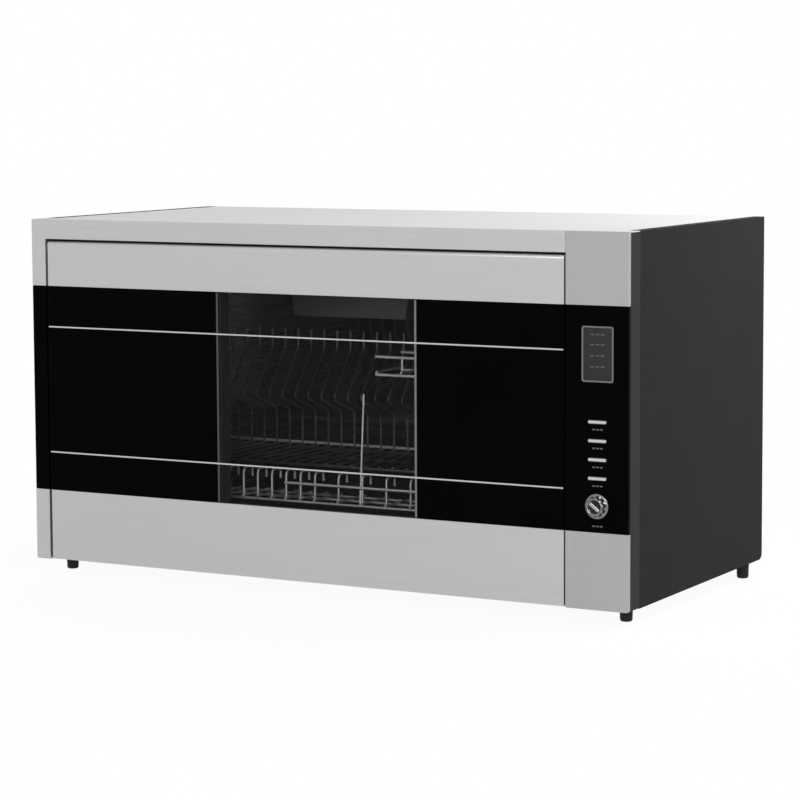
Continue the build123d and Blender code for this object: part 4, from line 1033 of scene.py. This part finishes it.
def floor_finish():
    """A matt floor that keeps some shadow near the object and turns white further away."""
    material = bpy.data.materials.new("floor_finish")
    material.use_nodes = True
    tree = material.node_tree
    shader = tree.nodes["Principled BSDF"]
    shader.inputs["Base Color"].default_value = FLOOR_TONE
    shader.inputs["Roughness"].default_value = FLOOR_ROUGHNESS
    shader.inputs["Specular IOR Level"].default_value = 0.0
    glow = tree.nodes.new("ShaderNodeEmission")
    where = tree.nodes.new("ShaderNodeTexCoord")
    reach = tree.nodes.new("ShaderNodeVectorMath")
    reach.operation = "LENGTH"
    fade = tree.nodes.new("ShaderNodeMapRange")
    fade.interpolation_type = "SMOOTHSTEP"
    fade.inputs["From Min"].default_value = GLOW_FADE[0]
    fade.inputs["From Max"].default_value = GLOW_FADE[1]
    fade.inputs["To Min"].default_value = FLOOR_GLOW
    fade.inputs["To Max"].default_value = 1.0
    tree.links.new(where.outputs["Object"], reach.inputs[0])
    tree.links.new(reach.outputs["Value"], fade.inputs["Value"])
    mix = tree.nodes.new("ShaderNodeMixShader")
    share = combined(tree, "MULTIPLY", seen_share(tree), fade.outputs["Result"])
    tree.links.new(share, mix.inputs["Fac"])
    tree.links.new(shader.outputs["BSDF"], mix.inputs[1])
    tree.links.new(glow.outputs["Emission"], mix.inputs[2])
    tree.links.new(mix.outputs["Shader"], tree.nodes["Material Output"].inputs["Surface"])
    return material


def lay_floor():
    """A wide square at the feet's height."""
    corners = [(x * FLOOR_REACH, y * FLOOR_REACH, 0.0) for x, y in ((-1, -1), (1, -1), (1, 1), (-1, 1))]
    mesh = bpy.data.meshes.new("floor")
    mesh.from_pydata(corners, [], [(0, 1, 2, 3)])
    mesh.materials.append(floor_finish())
    floor = bpy.data.objects.new("floor", mesh)
    scene.collection.objects.link(floor)


light_world()
lay_floor()


# Soft lamps: from the left front, before the window, from the right, from behind and over the top
def lamp(name, spot, aim, size, power, mirrored=True):
    """A rectangular lamp at spot that points at aim, with its power in watts. One that isn't mirrored
    leaves no bright patch in the steel or the top sheet."""
    data = bpy.data.lights.new(name, "AREA")
    data.shape = "RECTANGLE"
    data.size = size[0]
    data.size_y = size[1]
    data.energy = power
    light = bpy.data.objects.new(name, data)
    light.location = spot
    light.rotation_euler = (Vector(aim) - Vector(spot)).to_track_quat("-Z", "Y").to_euler()
    light.visible_glossy = mirrored
    scene.collection.objects.link(light)


lamp("key_lamp", (-1.6, -2.4, 1.0), (-0.1, -0.2, 0.22), (1.6, 1.2), 20.0, mirrored=False)
lamp("window_lamp", (1.0, -2.9, 1.05), (0.0, -0.1, 0.22), (1.0, 0.8), 38.0)
lamp("right_lamp", (2.6, -0.9, 1.4), (0.3, 0.0, 0.2), (1.2, 1.2), 5.0)
lamp("back_lamp", (-1.9, 2.3, 0.9), (0.0, 0.2, 0.2), (1.6, 1.2), 44.0, mirrored=False)
lamp("top_lamp", (0.75, 0.35, 0.95), (0.5, 0.1, 0.44), (0.5, 0.6), 9.0, mirrored=False)

# Camera at the photograph's angle
AZIMUTH = radians(28.845)
ELEVATION = radians(5.579)
ROLL = radians(-0.296)
CAMERA_PLACE = (1.625, -2.942, 0.592)
SENSOR_WIDTH = 36.0
FOCAL_LENGTH = 124.01
SHIFT_Y = -0.05
CLIP_END = 200.0


def aim_camera():
    """A camera whose axes follow from its azimuth, elevation and roll."""
    back = Vector((sin(AZIMUTH) * cos(ELEVATION), -cos(AZIMUTH) * cos(ELEVATION), sin(ELEVATION)))
    level = Vector((cos(AZIMUTH), sin(AZIMUTH), 0.0))
    right = level * cos(ROLL) + back.cross(level) * sin(ROLL)
    up = back.cross(right)
    data = bpy.data.cameras.new("camera")
    data.sensor_width = SENSOR_WIDTH
    data.lens = FOCAL_LENGTH
    data.shift_y = SHIFT_Y
    data.clip_end = CLIP_END
    camera = bpy.data.objects.new("camera", data)
    axes = Matrix((right, up, back)).transposed().to_4x4()
    camera.matrix_world = Matrix.Translation(CAMERA_PLACE) @ axes
    scene.collection.objects.link(camera)
    scene.camera = camera


aim_camera()
scene.view_settings.view_transform = "Standard"

bpy.context.view_layer.update()
